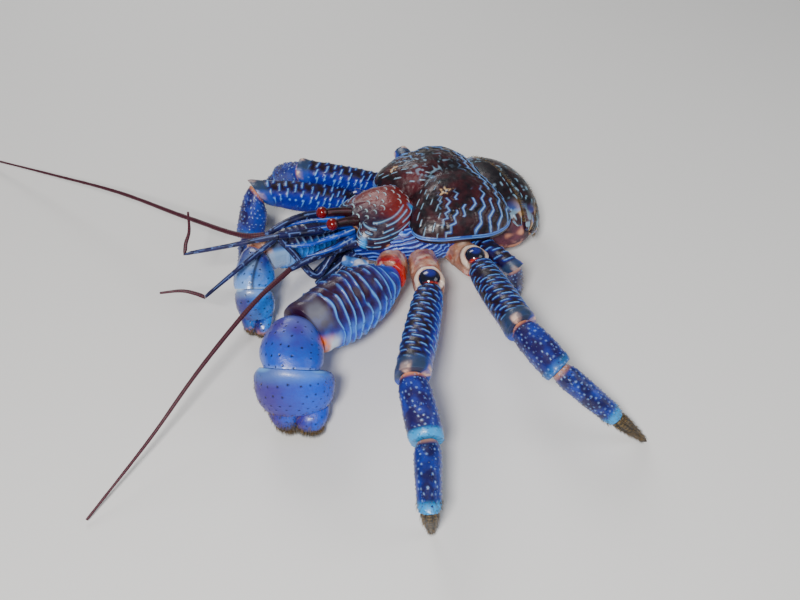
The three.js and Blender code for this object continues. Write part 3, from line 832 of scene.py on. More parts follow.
@dataclass
class Limb:
    """A limb made of lengths that meet face to face at its joints."""

    name: str
    joints: Array
    wides: Array
    lengths: list[Length]
    seed: float = 1.0

    def tangents(self) -> Array:
        """The direction through each joint, along the bisector where the limb bends."""
        steps = unit(np.diff(self.joints, axis=0))
        return unit(np.vstack([steps[:1], steps[:-1] + steps[1:], steps[-1:]]))

    def surface(self, index: int) -> Surface:
        """Builds the skin of one length.

        Args:
            index: which length, counted from the body.

        Returns:
            The surface with its marking.
        """
        length = self.lengths[index]
        rows = length.stations
        rim = 4
        mesh, station, column = tube_mesh(f"{self.name}_{length.part}", rows + 2 * rim, length.columns)
        inner, over, shrink = closed_ends(station, rows, rim)
        share = ease(0.0, 1.0, inner) * 0.3 + inner * 0.7
        angle = column / length.columns * math.tau
        points, _, _ = self.place(index, share, angle, shrink)
        start, end = self.joints[index], self.joints[index + 1]
        size = float(np.linalg.norm(end - start))
        girth = math.pi * (length.half[0] + length.half[1])
        site = Site(share, angle, size, girth, points, self.seed + 7.0 * index)
        coat = site.coat(length.marking)
        coat.height *= shrink * (over <= 0)
        self.colour(length, site, coat)
        return Surface(f"{self.name}_{length.part}_shell", mesh, points, coat)

    def place(
        self, index: int, share: Array, angle: Array, shrink: Array | float = 1.0
    ) -> tuple[Array, Array, Array]:
        """Places points on the skin of one length.

        Args:
            index: which length.
            share: how far along it, from 0 to 1.
            angle: how far round it, 0 on the broad side.
            shrink: narrows the ring, for the rounded ends.

        Returns:
            The points, the way out of the skin and the way along it.
        """
        length = self.lengths[index]
        knots = np.array([row[0] for row in PROFILES[length.profile]])
        sizes = through(knots, np.array([row[1:] for row in PROFILES[length.profile]]), share)
        a = sizes[:, 0] * length.half[0] * shrink
        b = sizes[:, 1] * length.half[1] * shrink
        tangents = self.tangents()
        start, end = self.joints[index], self.joints[index + 1]
        axis = unit(end - start)
        t = share[:, None]
        turn = np.where(
            t < 0.5, tangents[index] * (1 - 2 * t) + axis * 2 * t,
            axis * (2 - 2 * t) + tangents[index + 1] * (2 * t - 1)
        )
        turn = unit(turn)
        at = start * (1 - t) + end * t + length.bow * np.sin(math.pi * t)
        at = (
            at + tangents[index] * (GAP / 2) * (t <= 0) * (index > 0)
            - tangents[index + 1] * (GAP / 2) * (t >= 1)
        )
        wide = self.wides[index] * (1 - t) + self.wides[index + 1] * t
        across = unit(wide - turn * np.sum(wide * turn, axis=1, keepdims=True))
        other = np.cross(turn, across)
        c, s = rounded(angle, length.power)
        out = across * (c * a)[:, None] + other * (s * b)[:, None]
        return at + out, unit(out), turn

    def colour(self, length: Length, site: Site, coat: Coat) -> None:
        """Adds what is special to one limb; nothing here."""

    def build(self) -> list[bpy.types.Object]:
        """Builds the lengths.

        Returns:
            The pieces.
        """
        pieces = []
        for index, length in enumerate(self.lengths):
            node = f"{self.name}_{length.part}"
            pieces.append(self.surface(index).finish(length.finish, node, length.slot))
        return pieces


@dataclass
class WalkingLeg(Limb):
    """A walking leg with the glossy boss on top of its base."""

    size: float = 1.0
    boss_shape: tuple[float, float, float] = (0.74, 0.74, 0.54)

    def boss_place(self) -> Array:
        """The middle of the boss."""
        axis = unit(self.joints[1] - self.joints[0])
        return self.joints[1] - axis * 0.4 * BASE_RADIUS * self.size + UP * 0.72 * BASE_RADIUS * self.size

    def colour(self, length: Length, site: Site, coat: Coat) -> None:
        """Raises a cream rim round the boss, with red below it, and dims the bright ends of most legs.

        Args:
            length: the length to colour.
            site: where its vertices lie.
            coat: the coat that it adds to.
        """
        if length.part == "carpus" and self.name != "leg2_l":
            coat.masks["glow"] *= 0.3
        if length.part == "base":
            near = np.linalg.norm(site.points - self.boss_place(), axis=1) / self.size
            rim = band(near - 7.6, 0.7, 0.9)
            coat.lay("line", 0.9 * rim)
            coat.height += 0.8 * rim
            coat.masks["warm"] *= 1 - rim
            coat.lay("pit", 0.5 * band(near - 9.6, 0.3, 0.8) * ease(0.4, 0.6, cloud(site.points, 5.0, 4.0)))

    def build(self) -> list[bpy.types.Object]:
        """Builds the lengths and the boss.

        Returns:
            The pieces.
        """
        pieces = super().build()
        mesh, turn, fall = ball_mesh(self.name + "_boss", 64, 40)
        way = heading(turn, fall)
        radius = BASE_RADIUS * self.size
        points = self.boss_place() + way * radius * self.boss_shape
        coat = Coat.bare(len(points))
        front = way @ unit(vec(-0.35, -0.85, -0.15))
        coat.lay("warm", ease(0.62, 0.86, front) * (1 - 0.6 * (cloud(points, 2.0, 3.0) > 0.6)))
        # Painted highlight: the tone mask brightens the boss's upward-facing top towards the bright colour,
        # standing in for the sheen of the light on the glossy dome.
        coat.lay("tone", 0.8 * ease(0.75, 0.98, way @ unit(vec(0.1, 0.1, 1.0))))
        pieces.append(Surface(self.name + "_boss", mesh, points, coat).finish(DOME_NAVY, "", "shell_dark"))
        return pieces


def walking_leg(name: str, size: float, joints: Sequence[Sequence[float]], seed: float) -> Limb:
    """A walking leg of five lengths.

    Args:
        name: the leg's name.
        size: its thickness against the second left leg's.
        joints: hip, end of the base, knee, end of the carpus, end of the propodus, tip.
        seed: picks its markings.

    Returns:
        The limb.
    """
    points = np.array(joints, float)
    out = unit((points[2] - points[0]) * (1, 1, 0))
    wides = np.array([UP, UP, UP, out + UP, out, out])
    lengths = [
        Length(
            "base", "carpus", (BASE_RADIUS * size, BASE_RADIUS * size), Marking.ROOT, ROOT_CREAM,
            "shell_pale", columns=72, stations=48
        ),
        Length(
            "merus", "merus", (10 * size, 9.2 * size), Marking.STREAKS, LEG_BLUE, "shell_blue", columns=120,
            stations=150
        ),
        Length(
            "carpus", "carpus", (9 * size, 8.6 * size), Marking.SPOTS, LEG_KNUCKLE, "shell_violet",
            columns=120, stations=90
        ),
        Length(
            "propodus", "propodus", (7 * size, 6.6 * size), Marking.SPOTS, SHANK, "shell_blue", columns=110,
            stations=90
        ),
        Length(
            "dactylus", "dactylus", (4.4 * size, 4.2 * size), Marking.HORN, HORN, "claw_horn", columns=72,
            stations=70
        ),
    ]
    return WalkingLeg(name, points, wides, lengths, seed, size)


@dataclass
class Claw(Limb):
    """A claw-bearing limb with its palm and two fingers."""

    fingers: tuple = ()
    palm_finish: ShellFinish = PALM_BLUE

    def colour(self, length: Length, site: Site, coat: Coat) -> None:
        """Colours the knuckle and the palm from violet at one side to blue at the other.

        Args:
            length: the length to colour.
            site: where its vertices lie.
            coat: the coat that it adds to.
        """
        turned = site.turned()
        if length.part in ("palm", "carpus", "dactylus", "pollex"):
            side = ease(0.6, -0.5, np.cos(site.angle))
            low = ease(0.25, 0.95, site.share) if length.part == "carpus" else 0.0
            coat.masks["glow"][:] = 0.0
            coat.masks["warm"][:] = 0.0
            coat.masks["tone"][:] = np.clip(np.maximum(side, low), 0, 1)
        if length.part == "carpus":
            coat.lay("warm", ease(0.4, 0.1, site.share) * band(turned + 2.6, 0.5, 0.5))
            coat.lay("line", 0.35 * ease(0.35, 0.9, cloud(site.points, 8.0, 7.0)) * (1 - side))
            coat.lay("line", 0.5 * ease(0.93, 0.99, site.share))
        if length.part == "base":
            coat.lay("warm", ease(0.5, 0.8, site.share) * ease(0.42, 0.58, cloud(site.points, 4.0, 9.0)))
        if length.part == "palm":
            coat.lay("line", 0.75 * ease(0.12, 0.02, site.share) * ease(0.3, 0.9, np.abs(np.cos(site.angle))))
            coat.lay("line", 0.25 * ease(0.3, 0.1, site.share))
        if length.part in ("dactylus", "pollex"):
            coat.lay("pit", 0.85 * ease(0.3, 0.85, site.share))
            coat.lay(
                "warm", 0.8 * ease(0.25, 0.7, site.share) * ease(0.45, 0.7, cloud(site.points, 1.6, 3.0))
            )
        if self.name == "claw_r" and length.part == "merus":
            blue = ease(-0.7, -1.15, turned) * (turned < 0)
            coat.masks["tone"] = np.clip(0.25 * coat.masks["tone"] + blue, 0, 1)
            for key in ("line", "warm", "glow"):
                coat.masks[key] = coat.masks[key] * (1 - 0.85 * blue)
            coat.lay("line", 0.9 * blue * ease(0.62, 0.85, site.share) * band(turned + 1.5, 0.3, 0.5))
            coat.lay("warm", 0.8 * ease(0.93, 0.98, site.share))
        if self.name == "claw_r" and length.part == "carpus":
            coat.lay(
                "pit",
                0.8 * band(turned + 0.9 + 1.2 * (site.share - 0.5), 0.03, 0.1) * ease(0.1, 0.25, site.share)
            )
            coat.lay("warm", 0.9 * ease(0.12, 0.03, site.share))

    def build(self) -> list[bpy.types.Object]:
        """Builds the lengths and the two fingers.

        Returns:
            The pieces.
        """
        pieces = super().build()
        for limb in self.finger_limbs():
            part = limb.lengths[0].part
            node = f"{self.name}_dactylus" if part == "dactylus" else ""
            pieces.append(limb.surface(0).finish(self.palm_finish, node, "claw_horn"))
        return pieces

    def finger_limbs(self) -> list[Limb]:
        """Lays out the moving and the fixed finger.

        Returns:
            Each as a limb of one length.
        """
        broad = unit(self.wides[-1])
        down = unit(self.joints[-1] - self.joints[-2])
        limbs = []
        for (offset, tip, radius), part in zip(self.fingers, ("dactylus", "pollex")):
            root = self.joints[-1] + broad * offset + down * (GAP if part == "dactylus" else -5.0)
            length = Length(
                part, "finger", (radius, radius), Marking.PITS, self.palm_finish, "claw_horn",
                vec(-3, -3, 0), columns=100, stations=80,
            )
            limbs.append(
                Claw(
                    self.name, np.array([root, tip], float), np.array([broad, broad]), [length],
                    self.seed + 31
                )
            )
        return limbs


SOLE_Z = -0.6
LEGS = {
    "leg2_l": (
        1.0,
        (
            (-14, -22, 26), (-29, -61, 35), (-73, -120.5, 46), (-81, -151, 34), (-97, -182, 29),
            (-93, -178.6, SOLE_Z)
        )
    ),
    "leg2_r": (
        0.9,
        ((-14, 22, 24), (-30, 37, 27), (-87, 52, 46), (-98.3, 43.5, 20), (-112, 14, 13), (-102, 1, SOLE_Z))
    ),
    "leg3_l": (
        0.94,
        ((4, -22, 26), (6, -55, 33), (-6, -118, 46), (-2.5, -148.5, 42), (19, -173, 18), (35, -184.5, SOLE_Z))
    ),
    "leg3_r": (
        0.8, ((4, 22, 25), (-5, 42, 27.5), (-54, 60, 44), (-61.5, 78.5, 30), (-76, 87, 9), (-82, 68, SOLE_Z))
    ),
}
SMALL_LEGS = {
    "leg4_l": ((18, -20, 27), (21, -71, 37), (29, -64, SOLE_Z)),
    "leg4_r": ((18, 20, 27), (19, 62, 30), (31, 66, SOLE_Z)),
}


def small_leg(name: str, joints: Sequence[Sequence[float]], seed: float) -> Limb:
    """A slender fourth leg.

    Args:
        name: the leg's name.
        joints: hip, knee and tip.
        seed: picks its markings.

    Returns:
        The limb.
    """
    points = np.array(joints, float)
    out = unit((points[1] - points[0]) * (1, 1, 0))
    lengths = [
        Length(
            "upper", "merus", (5.4, 5.4), Marking.STREAKS, LEG_BLUE, "shell_blue", columns=90, stations=120
        ),
        Length("lower", "slim", (4.6, 4.6), Marking.SPOTS, SHANK, "claw_horn", columns=72, stations=80),
    ]
    return Limb(name, points, np.array([UP, out + UP, out]), lengths, seed)


def claws() -> list[Claw]:
    """Lays out both claws.

    Returns:
        The left and the right claw.
    """
    left = Claw(
        "claw_l",
        np.array(
            [[-29, -16, 26], [-42, -38, 31], [-105.5, -59.5, 39], [-121.6, -78.7, 36], [-122, -85, 15]], float
        ),
        np.array(
            [[0, 0.45, 1], [0, 0.45, 1], [-0.17, 0.47, 0.87], [-0.86, 0.47, 0.12], [-0.88, 0.47, 0]], float
        ),
        [
            Length("base", "carpus", (9, 9), Marking.ROOT, ROOT_CREAM, "shell_pale", columns=96, stations=60),
            Length(
                "merus", "claw_merus", (18.6, 12.4), Marking.RIDGES, CLAW_VIOLET, "shell_violet",
                vec(0.2, -0.5, -1), columns=220, stations=240
            ),
            Length(
                "carpus", "claw_carpus", (15.5, 13), Marking.PITS, KNUCKLE, "shell_violet", vec(-2.3, 1.2, 0),
                columns=220, stations=130
            ),
            Length(
                "palm", "claw_palm", (20.8, 13.8), Marking.PITS, PALM_BLUE, "shell_blue", columns=230,
                stations=120
            ),
        ],
        3.0,
        fingers=((-7.8, (-119, -94, SOLE_Z), 9), (8, (-125.4, -89.2, SOLE_Z), 8.6)),
    )
    right = Claw(
        "claw_r",
        np.array(
            [[-28, 14, 26], [-46, 18, 25], [-103.2, 12.2, 34], [-115.2, -5.4, 26.5], [-116, -11.5, 11]], float
        ),
        np.array([[0, 0, 1], [0, -0.2, 1], [-0.1, -0.2, 1], [-0.88, 0.4, 0.3], [-0.88, 0.47, 0]], float),
        [
            Length(
                "base", "carpus", (7.5, 7.5), Marking.ROOT, ROOT_CREAM, "shell_pale", columns=64, stations=36
            ),
            Length(
                "merus", "claw_merus", (14, 10), Marking.RIDGES, RIGHT_ARM, "shell_violet", columns=180,
                stations=200
            ),
            Length(
                "carpus", "claw_carpus", (10.8, 9.8), Marking.PITS, PALE_CLAW, "shell_violet", columns=140,
                stations=100
            ),
            Length(
                "palm", "claw_palm", (11, 8.6), Marking.PITS, PALE_CLAW, "shell_blue", columns=140,
                stations=100
            ),
        ],
        5.0,
        fingers=((-4.1, (-115.4, -18.6, SOLE_Z), 4.9), (4.2, (-119.2, -14.4, SOLE_Z), 4.6)),
        palm_finish=PALE_CLAW,
    )
    return [left, right]


# ---- The carapace


@dataclass
class Dome:
    """A domed plate over an outline seen from above, the same both sides of the crab's middle."""

    node: str
    edge: Sequence[Sequence[float]]
    centre: Array
    rim: Callable[[Array, Array], Array]
    top: Callable[[Array, Array], Array]
    depth: float
    finish: ShellFinish
    fullness: float = 0.8
    around: int = 300
    down: int = 130

    def surface(self) -> tuple[Surface, Array, Array, Array]:
        """Builds the bare dome.

        Returns:
            The surface, each vertex's turn around the outline, its distance in from the edge
            seen from above, and 1 on the upper side.
        """
        mesh, turn, fall = ball_mesh(self.node, self.around, self.down)
        fall = np.where(fall < 0.8 * math.pi, fall / 1.6, math.pi - (math.pi - fall) * 2.5)
        half = centripetal([(x, y, 0) for x, y in self.edge], 600)
        place = np.where(turn <= math.pi, turn, math.tau - turn) / math.pi * 599
        low = np.minimum(place.astype(int), 598)
        part = (place - low)[:, None]
        edge = half[low] * (1 - part) + half[low + 1] * part
        edge[:, 1] *= np.where(turn <= math.pi, 1.0, -1.0)
        out = edge - self.centre
        reach = np.clip(np.sin(fall), 0, 1) ** self.fullness
        x = self.centre[0] + out[:, 0] * reach
        y = self.centre[1] + out[:, 1] * reach
        rise = np.cos(fall)
        rim = self.rim(x, y)
        z = np.where(rise >= 0, rim + (self.top(x, y) - rim) * rise, rim + self.depth * rise)
        surface = Surface(self.node + "_shell", mesh, np.stack([x, y, z], 1), Coat.bare(len(x)))
        inset = (1 - reach) * np.linalg.norm(out, axis=1) + np.maximum(z - rim, 0.0)
        return surface, turn, inset, ease(-0.02, 0.1, rise)


LOBE_EDGE = (
    (-12, 0), (-15, 8), (-20, 20), (-19, 29), (-10, 36), (6, 40), (24, 42.5), (38, 38), (45, 27), (47, 13),
    (46, 0)
)
SHIELD_EDGE = (
    (-54, 0), (-50.5, 4), (-48, 9), (-52, 14), (-49, 18), (-40, 21.5), (-28, 21.5), (-18, 18), (-11, 13),
    (-9, 0)
)
CHEEK = (
    (-52, 13, 37, 3, 5), (-46, 17, 35, 6, 8), (-36, 22.5, 33, 9, 11), (
        -22, 29.5, 32, 12, 13
    ), (-8, 34, 33, 14, 13), (8, 37, 35, 14, 11), (20, 38, 37, 9, 7),
)
TRUNK = (
    (-50, 8, 6, 34), (-45, 14, 9, 31), (-30, 20, 12, 28), (-10, 24, 14, 27), (12, 25, 14, 27),
    (30, 22, 12, 28), (42, 14, 8, 30)
)


@dataclass
class Carapace:
    """The shield, the two gill lobes, the cheeks and the trunk beneath."""

    rim_z: float = 41.0
    crown_z: float = 63.0

    def build(self) -> list[bpy.types.Object]:
        """Builds every plate of the carapace.

        Returns:
            The pieces.
        """
        pieces = [self.lobes(), self.shield()]
        for key, side in (("l", -1.0), ("r", 1.0)):
            pieces.append(self.cheek(key, side))
        pieces.append(self.trunk())
        return pieces

    def lobes(self) -> bpy.types.Object:
        """The gill lobes: near black, with zigzag arcs across the rear half and dashes before them.

        Returns:
            The piece.
        """

        def rim(x: Array, y: Array) -> Array:
            """The height of the rim."""
            share = ease(-20.0, 48.0, x)
            return (self.rim_z + 2) * (1 - share) + (self.rim_z - 5) * share

        def top(x: Array, y: Array) -> Array:
            """The height of the crown, with the valley between the lobes."""
            valley = 5.0 * np.exp(-((y / 7.0) ** 2)) * ease(-40.0, 16.0, -x)
            return self.crown_z - 0.006 * (x - 8.0) ** 2 - valley

        dome = Dome("carapace_lobes", LOBE_EDGE, vec(14, 0, 0), rim, top, 9.0, MAROON, around=460, down=210)
        surface, _, inset, upper = dome.surface()
        p, coat = surface.points, surface.coat
        x, y = p[:, 0], np.abs(p[:, 1])
        rear = ease(2.0, 14.0, x + 0.35 * y)
        step = 5.4
        ahead, aside = x + 20.0, 1.25 * (y - 14.0)
        sweep = np.arctan2(aside, ahead) * 6.0
        kink = np.abs(np.mod(sweep + 0.25 * np.sin(sweep), 1.0) - 0.5) * 2.0
        depth = 66.0 - np.hypot(ahead, aside) + 3.0 * (cloud(p, 13.0, 2.0) - 0.5) + 2.2 * kink
        row = np.floor(depth / step)
        offset = np.mod(depth, step) - step / 2
        cell = np.floor(sweep + 0.25 * np.sin(sweep) + 0.37 * row)
        broken = lot(row, cell, 4.0)
        keep = (
            rear * (broken > 0.16 + 0.03 * np.abs(row)) * (1 - ease(34.0, 46.0, inset))
            * ease(2.5, 5.0, inset)
        )
        line = band(offset, 0.2, 0.4) * keep
        blue = band(offset, 0.5, 0.9) * keep
        u, v = (x + 0.7 * y) / 6.4, (y - 0.3 * x) / 4.6
        i = np.floor(v)
        j = np.floor(u + 0.5 * np.mod(i, 2) + 0.3 * lot(i, 0 * i, 1.0))
        du = (u + 0.5 * np.mod(i, 2) + 0.3 * lot(i, 0 * i, 1.0) - j - 0.5) * 6.4
        dv = (v - i - 0.5) * 4.6
        pick = lot(i, j, 9.0)
        dash = band(du + 0.35 * dv, 0.2, 0.4) * band(dv, 0.5 + pick, 0.6) * (pick > 0.35)
        dash = dash * (1 - rear) * ease(2.0, 5.0, inset)
        coat.lay("line", (line + 0.65 * dash) * upper)
        border = band(inset - 1.2, 0.22, 0.4) + 0.8 * band(inset - 2.9, 0.2, 0.45) * (broken > 0.2)
        coat.lay("glow", (0.6 * blue + band(inset - 2.0, 0.8, 1.2)) * upper * 0.6)
        coat.lay("line", border * upper * (0.55 + 0.45 * ease(0.3, 0.6, cloud(p, 6.0, 14.0))))
        coat.height += (
            0.45 * line + 0.25 * dash + 0.35 * border + 0.35 * ease(-step / 2, step / 2, offset) * keep
        ) * upper
        coat.lay("tone", 0.95 * np.exp(-(((x + 3) / 8.0) ** 2) - ((p[:, 1] - 6) / 9.0) ** 2))
        coat.lay("tone", 0.3 * cloud(p, 12.0, 5.0))
        pebble = ease(0.6, 0.8, cloud(p, 1.7, 15.0)) * ease(18.0, 6.0, np.hypot(x - 10.0, p[:, 1] - 12.0))
        coat.lay("line", 0.45 * pebble * upper)
        for star_x, star_y, size in ((5.0, -16.5, 1.0), (-9.0, 21.0, 0.9)):
            dx, dy = x - star_x, p[:, 1] - star_y
            spokes = 2.0 + 1.9 * np.abs(np.cos(2.5 * np.arctan2(dy, dx) + 0.6)) ** 3
            near = (
                np.hypot(dx * 0.75, dy * 1.25) / (spokes * size) + 0.5 * (cloud(p, 1.4, star_x) - 0.5)
                + 0.6 * (cloud(p, 3.0, star_y) - 0.5)
            )
            flecked = ease(0.4, 0.55, cloud(p, 1.2, 33.0))
            coat.lay("warm", 0.9 * (1 - ease(0.6, 1.1, near)) * upper * flecked)
            coat.lay("line", 0.6 * (1 - ease(0.2, 0.5, near)) * upper * flecked)
        coat.height += (0.5 * (cloud(p, 7.0, 8.0) - 0.5) + 0.3 * (cloud(p, 1.8, 9.0) - 0.5)) * upper
        return surface.finish(MAROON, "carapace_lobes", "shell_dark")

    def shield(self) -> bpy.types.Object:
        """The shield behind the eyes, with crescents in the middle and long lines at its edges.

        Returns:
            The piece.
        """

        def rim(x: Array, y: Array) -> Array:
            """The height of the rim."""
            return 47.0 - 8.0 * ease(6.0, 22.0, np.abs(y))

        def top(x: Array, y: Array) -> Array:
            """The height of the crown."""
            return 52.0 + 6.0 * ease(-54.0, -14.0, x)

        dome = Dome(
            "carapace_shield", SHIELD_EDGE, vec(-30, 0, 0), rim, top, 6.0, MAROON_SHIELD, 0.9, 330, 150
        )
        surface, turn, inset, upper = dome.surface()
        p, coat = surface.points, surface.coat
        x, y = p[:, 0], p[:, 1]
        warp = 1.3 * (cloud(p, 8.0, 12.0) - 0.5)
        flank = ease(6.0, 12.0, np.abs(y))
        offset = np.mod(inset + warp, 3.1) - 1.55
        row = np.floor((inset + warp) / 3.1)
        broken = lot(row, np.floor(turn * 4.2 + row * 0.4), 6.0)
        keep = flank * (1 - ease(15.0, 20.0, inset)) * (broken > 0.25) * ease(-56.0, -48.0, x)
        line = band(offset, 0.1, 0.34) * keep * ease(0.15, 0.3, cloud(p, 3.0, 15.0))
        coat.lay("line", 0.85 * line * upper)
        coat.lay("glow", 0.35 * band(offset, 0.3, 0.7) * keep * upper)
        u, v = x / 5.4, y / 4.6
        i = np.floor(v)
        shift = 0.5 * np.mod(i, 2) + 0.35 * lot(i, 0 * i, 5.0)
        j = np.floor(u + shift)
        du = (u + shift - j - 0.5) * 5.4
        dv = (v - i - 0.5) * 4.6
        pick = lot(i, j, 2.0)
        bend = np.hypot(du + 2.2, dv) - 2.6
        arc = band(bend, 0.14, 0.34) * (du > -1.6) * band(dv, 0.8 + 0.9 * pick, 0.6) * (pick > 0.2)
        arc = arc * (1 - flank) * ease(1.5, 4.0, inset)
        coat.lay("line", arc * upper * (0.6 + 0.4 * lot(i, j, 3.0)))
        coat.height += (0.4 * line + 0.35 * arc + 0.2 * ease(-1.6, 1.6, offset) * keep) * upper
        coat.lay("tone", ease(-46.0, -26.0, x + 0.5 * y))
        coat.lay("glow", 1 - ease(0.6, 3.6, np.hypot(x + 49.5, (y + 17.0) * 1.2)))
        coat.lay("line", 1 - ease(0.2, 1.8, np.hypot(x + 49.5, y + 17.0)))
        for side, force in ((-1.0, 1.3), (1.0, 0.6)):
            spread = np.hypot(x + 12.6, y - side * 13.6)
            beam = 2.2 + 2.2 * np.abs(np.cos(1.5 * np.arctan2(y - side * 13.6, x + 12.6))) ** 2
            coat.lay("glow", force * (1 - ease(0.5, 1.5, spread / beam)))
            coat.lay("line", force * (1 - ease(0.15, 0.7, spread / beam)))
        coat.lay(
            "warm",
            0.7 * band(inset - 0.5, 0.4, 0.8) * ease(0.42, 0.7, cloud(p, 8.0, 3.0)) * ease(-14.0, -26.0, x)
        )
        coat.lay("glow", 0.6 * band(inset - 1.0, 0.5, 0.9) * ease(-22.0, -14.0, x))
        coat.height += (0.3 * (cloud(p, 4.0, 18.0) - 0.5) + 0.15 * (cloud(p, 1.4, 19.0) - 0.5)) * upper
        return surface.finish(MAROON_SHIELD, "carapace_shield", "shell_dark")

    def loft(self, name: str, rings: Array, rows: int, columns: int) -> tuple[Surface, Array, Array]:
        """A loft along X.

        Args:
            name: the piece's name.
            rings: rows of x, y, z, half width, half height.
            rows: how many rings to make.
            columns: vertices in each.

        Returns:
            The surface, the share of the length and the angle per vertex.
        """
        rim = 3
        mesh, station, column = tube_mesh(name, rows + 2 * rim, columns)
        share, _, shrink = closed_ends(station, rows, rim)
        knots = (rings[:, 0] - rings[0, 0]) / (rings[-1, 0] - rings[0, 0])
        values = through(knots, rings, share)
        angle = column / columns * math.tau
        c, s = rounded(angle, 2.3)
        y = values[:, 1] + c * values[:, 3] * shrink
        z = values[:, 2] + s * values[:, 4] * shrink
        points = np.stack([values[:, 0], y, z], 1)
        return Surface(name + "_shell", mesh, points, Coat.bare(len(points))), share, angle

    def cheek(self, key: str, side: float) -> bpy.types.Object:
        """The cheek plate of one side, with wavy pale lines along it.

        Args:
            key: l or r.
            side: -1 for the left and 1 for the right.

        Returns:
            The piece.
        """
        rings = np.array(
            [(x, side * (outer - depth), z, depth, height) for x, outer, z, depth, height in CHEEK], float
        )
        surface, _, angle = self.loft("carapace_cheek_" + key, rings, 180, 200)
        p, coat = surface.points, surface.coat
        x, z, reach = p[:, 0], p[:, 2], side * p[:, 1]
        fall = 1.15 * (44.0 - z) + 0.55 * (reach - 20.0)
        zigzag = np.abs(np.mod(np.arctan2(fall, x + 20.0) * 7.0, 1.0) - 0.5) * 2.0
        spread = np.hypot((x + 20.0) * np.where(x > -20.0, 0.85, 0.16), fall)
        measure = (
            spread + 1.6 * zigzag * ease(-16.0, 2.0, x) + 2.2 * (cloud(p, 9.0, 21.0) - 0.5)
            + 1.8 * (cloud(p, 3.4, 25.0) - 0.5)
        )
        spacing = 3.2
        offset = np.mod(measure, spacing) - spacing / 2
        keep = ease(0.22, 0.34, cloud(p, 3.0, 22.0)) * ease(-0.35, 0.0, side * np.cos(angle))
        line = band(offset, 0.16, 0.36) * keep
        coat.lay("line", line)
        coat.lay("glow", 0.5 * band(offset, 0.4, 0.7) * keep)
        coat.height += 0.4 * line + 0.15 * band(offset, 0.5, 0.8) * keep
        coat.lay("tone", ease(12.0, 4.0, fall) * ease(-30.0, -14.0, x))
        return surface.finish(CHEEK_BLUE, "carapace_cheek_" + key, "shell_blue")

    def trunk(self) -> bpy.types.Object:
        """Builds the pale underside from which the legs spring.

        Returns:
            The piece.
        """
        rings = np.array([(x, 0.0, z, a, b) for x, a, b, z in TRUNK], float)
        surface, _, _ = self.loft("thorax", rings, 90, 110)
        p, coat = surface.points, surface.coat
        plate = band(np.mod(p[:, 0], 15.0) - 7.5, 0.5, 1.2)
        coat.height += 0.4 * (cloud(p, 3.0, 31.0) - 0.5) - 0.9 * plate
        coat.lay("tone", cloud(p, 8.0, 32.0))
        coat.lay("pit", 0.5 * plate)
        return surface.finish(ROOT_CREAM, "thorax", "shell_pale")


# ---- The abdomen


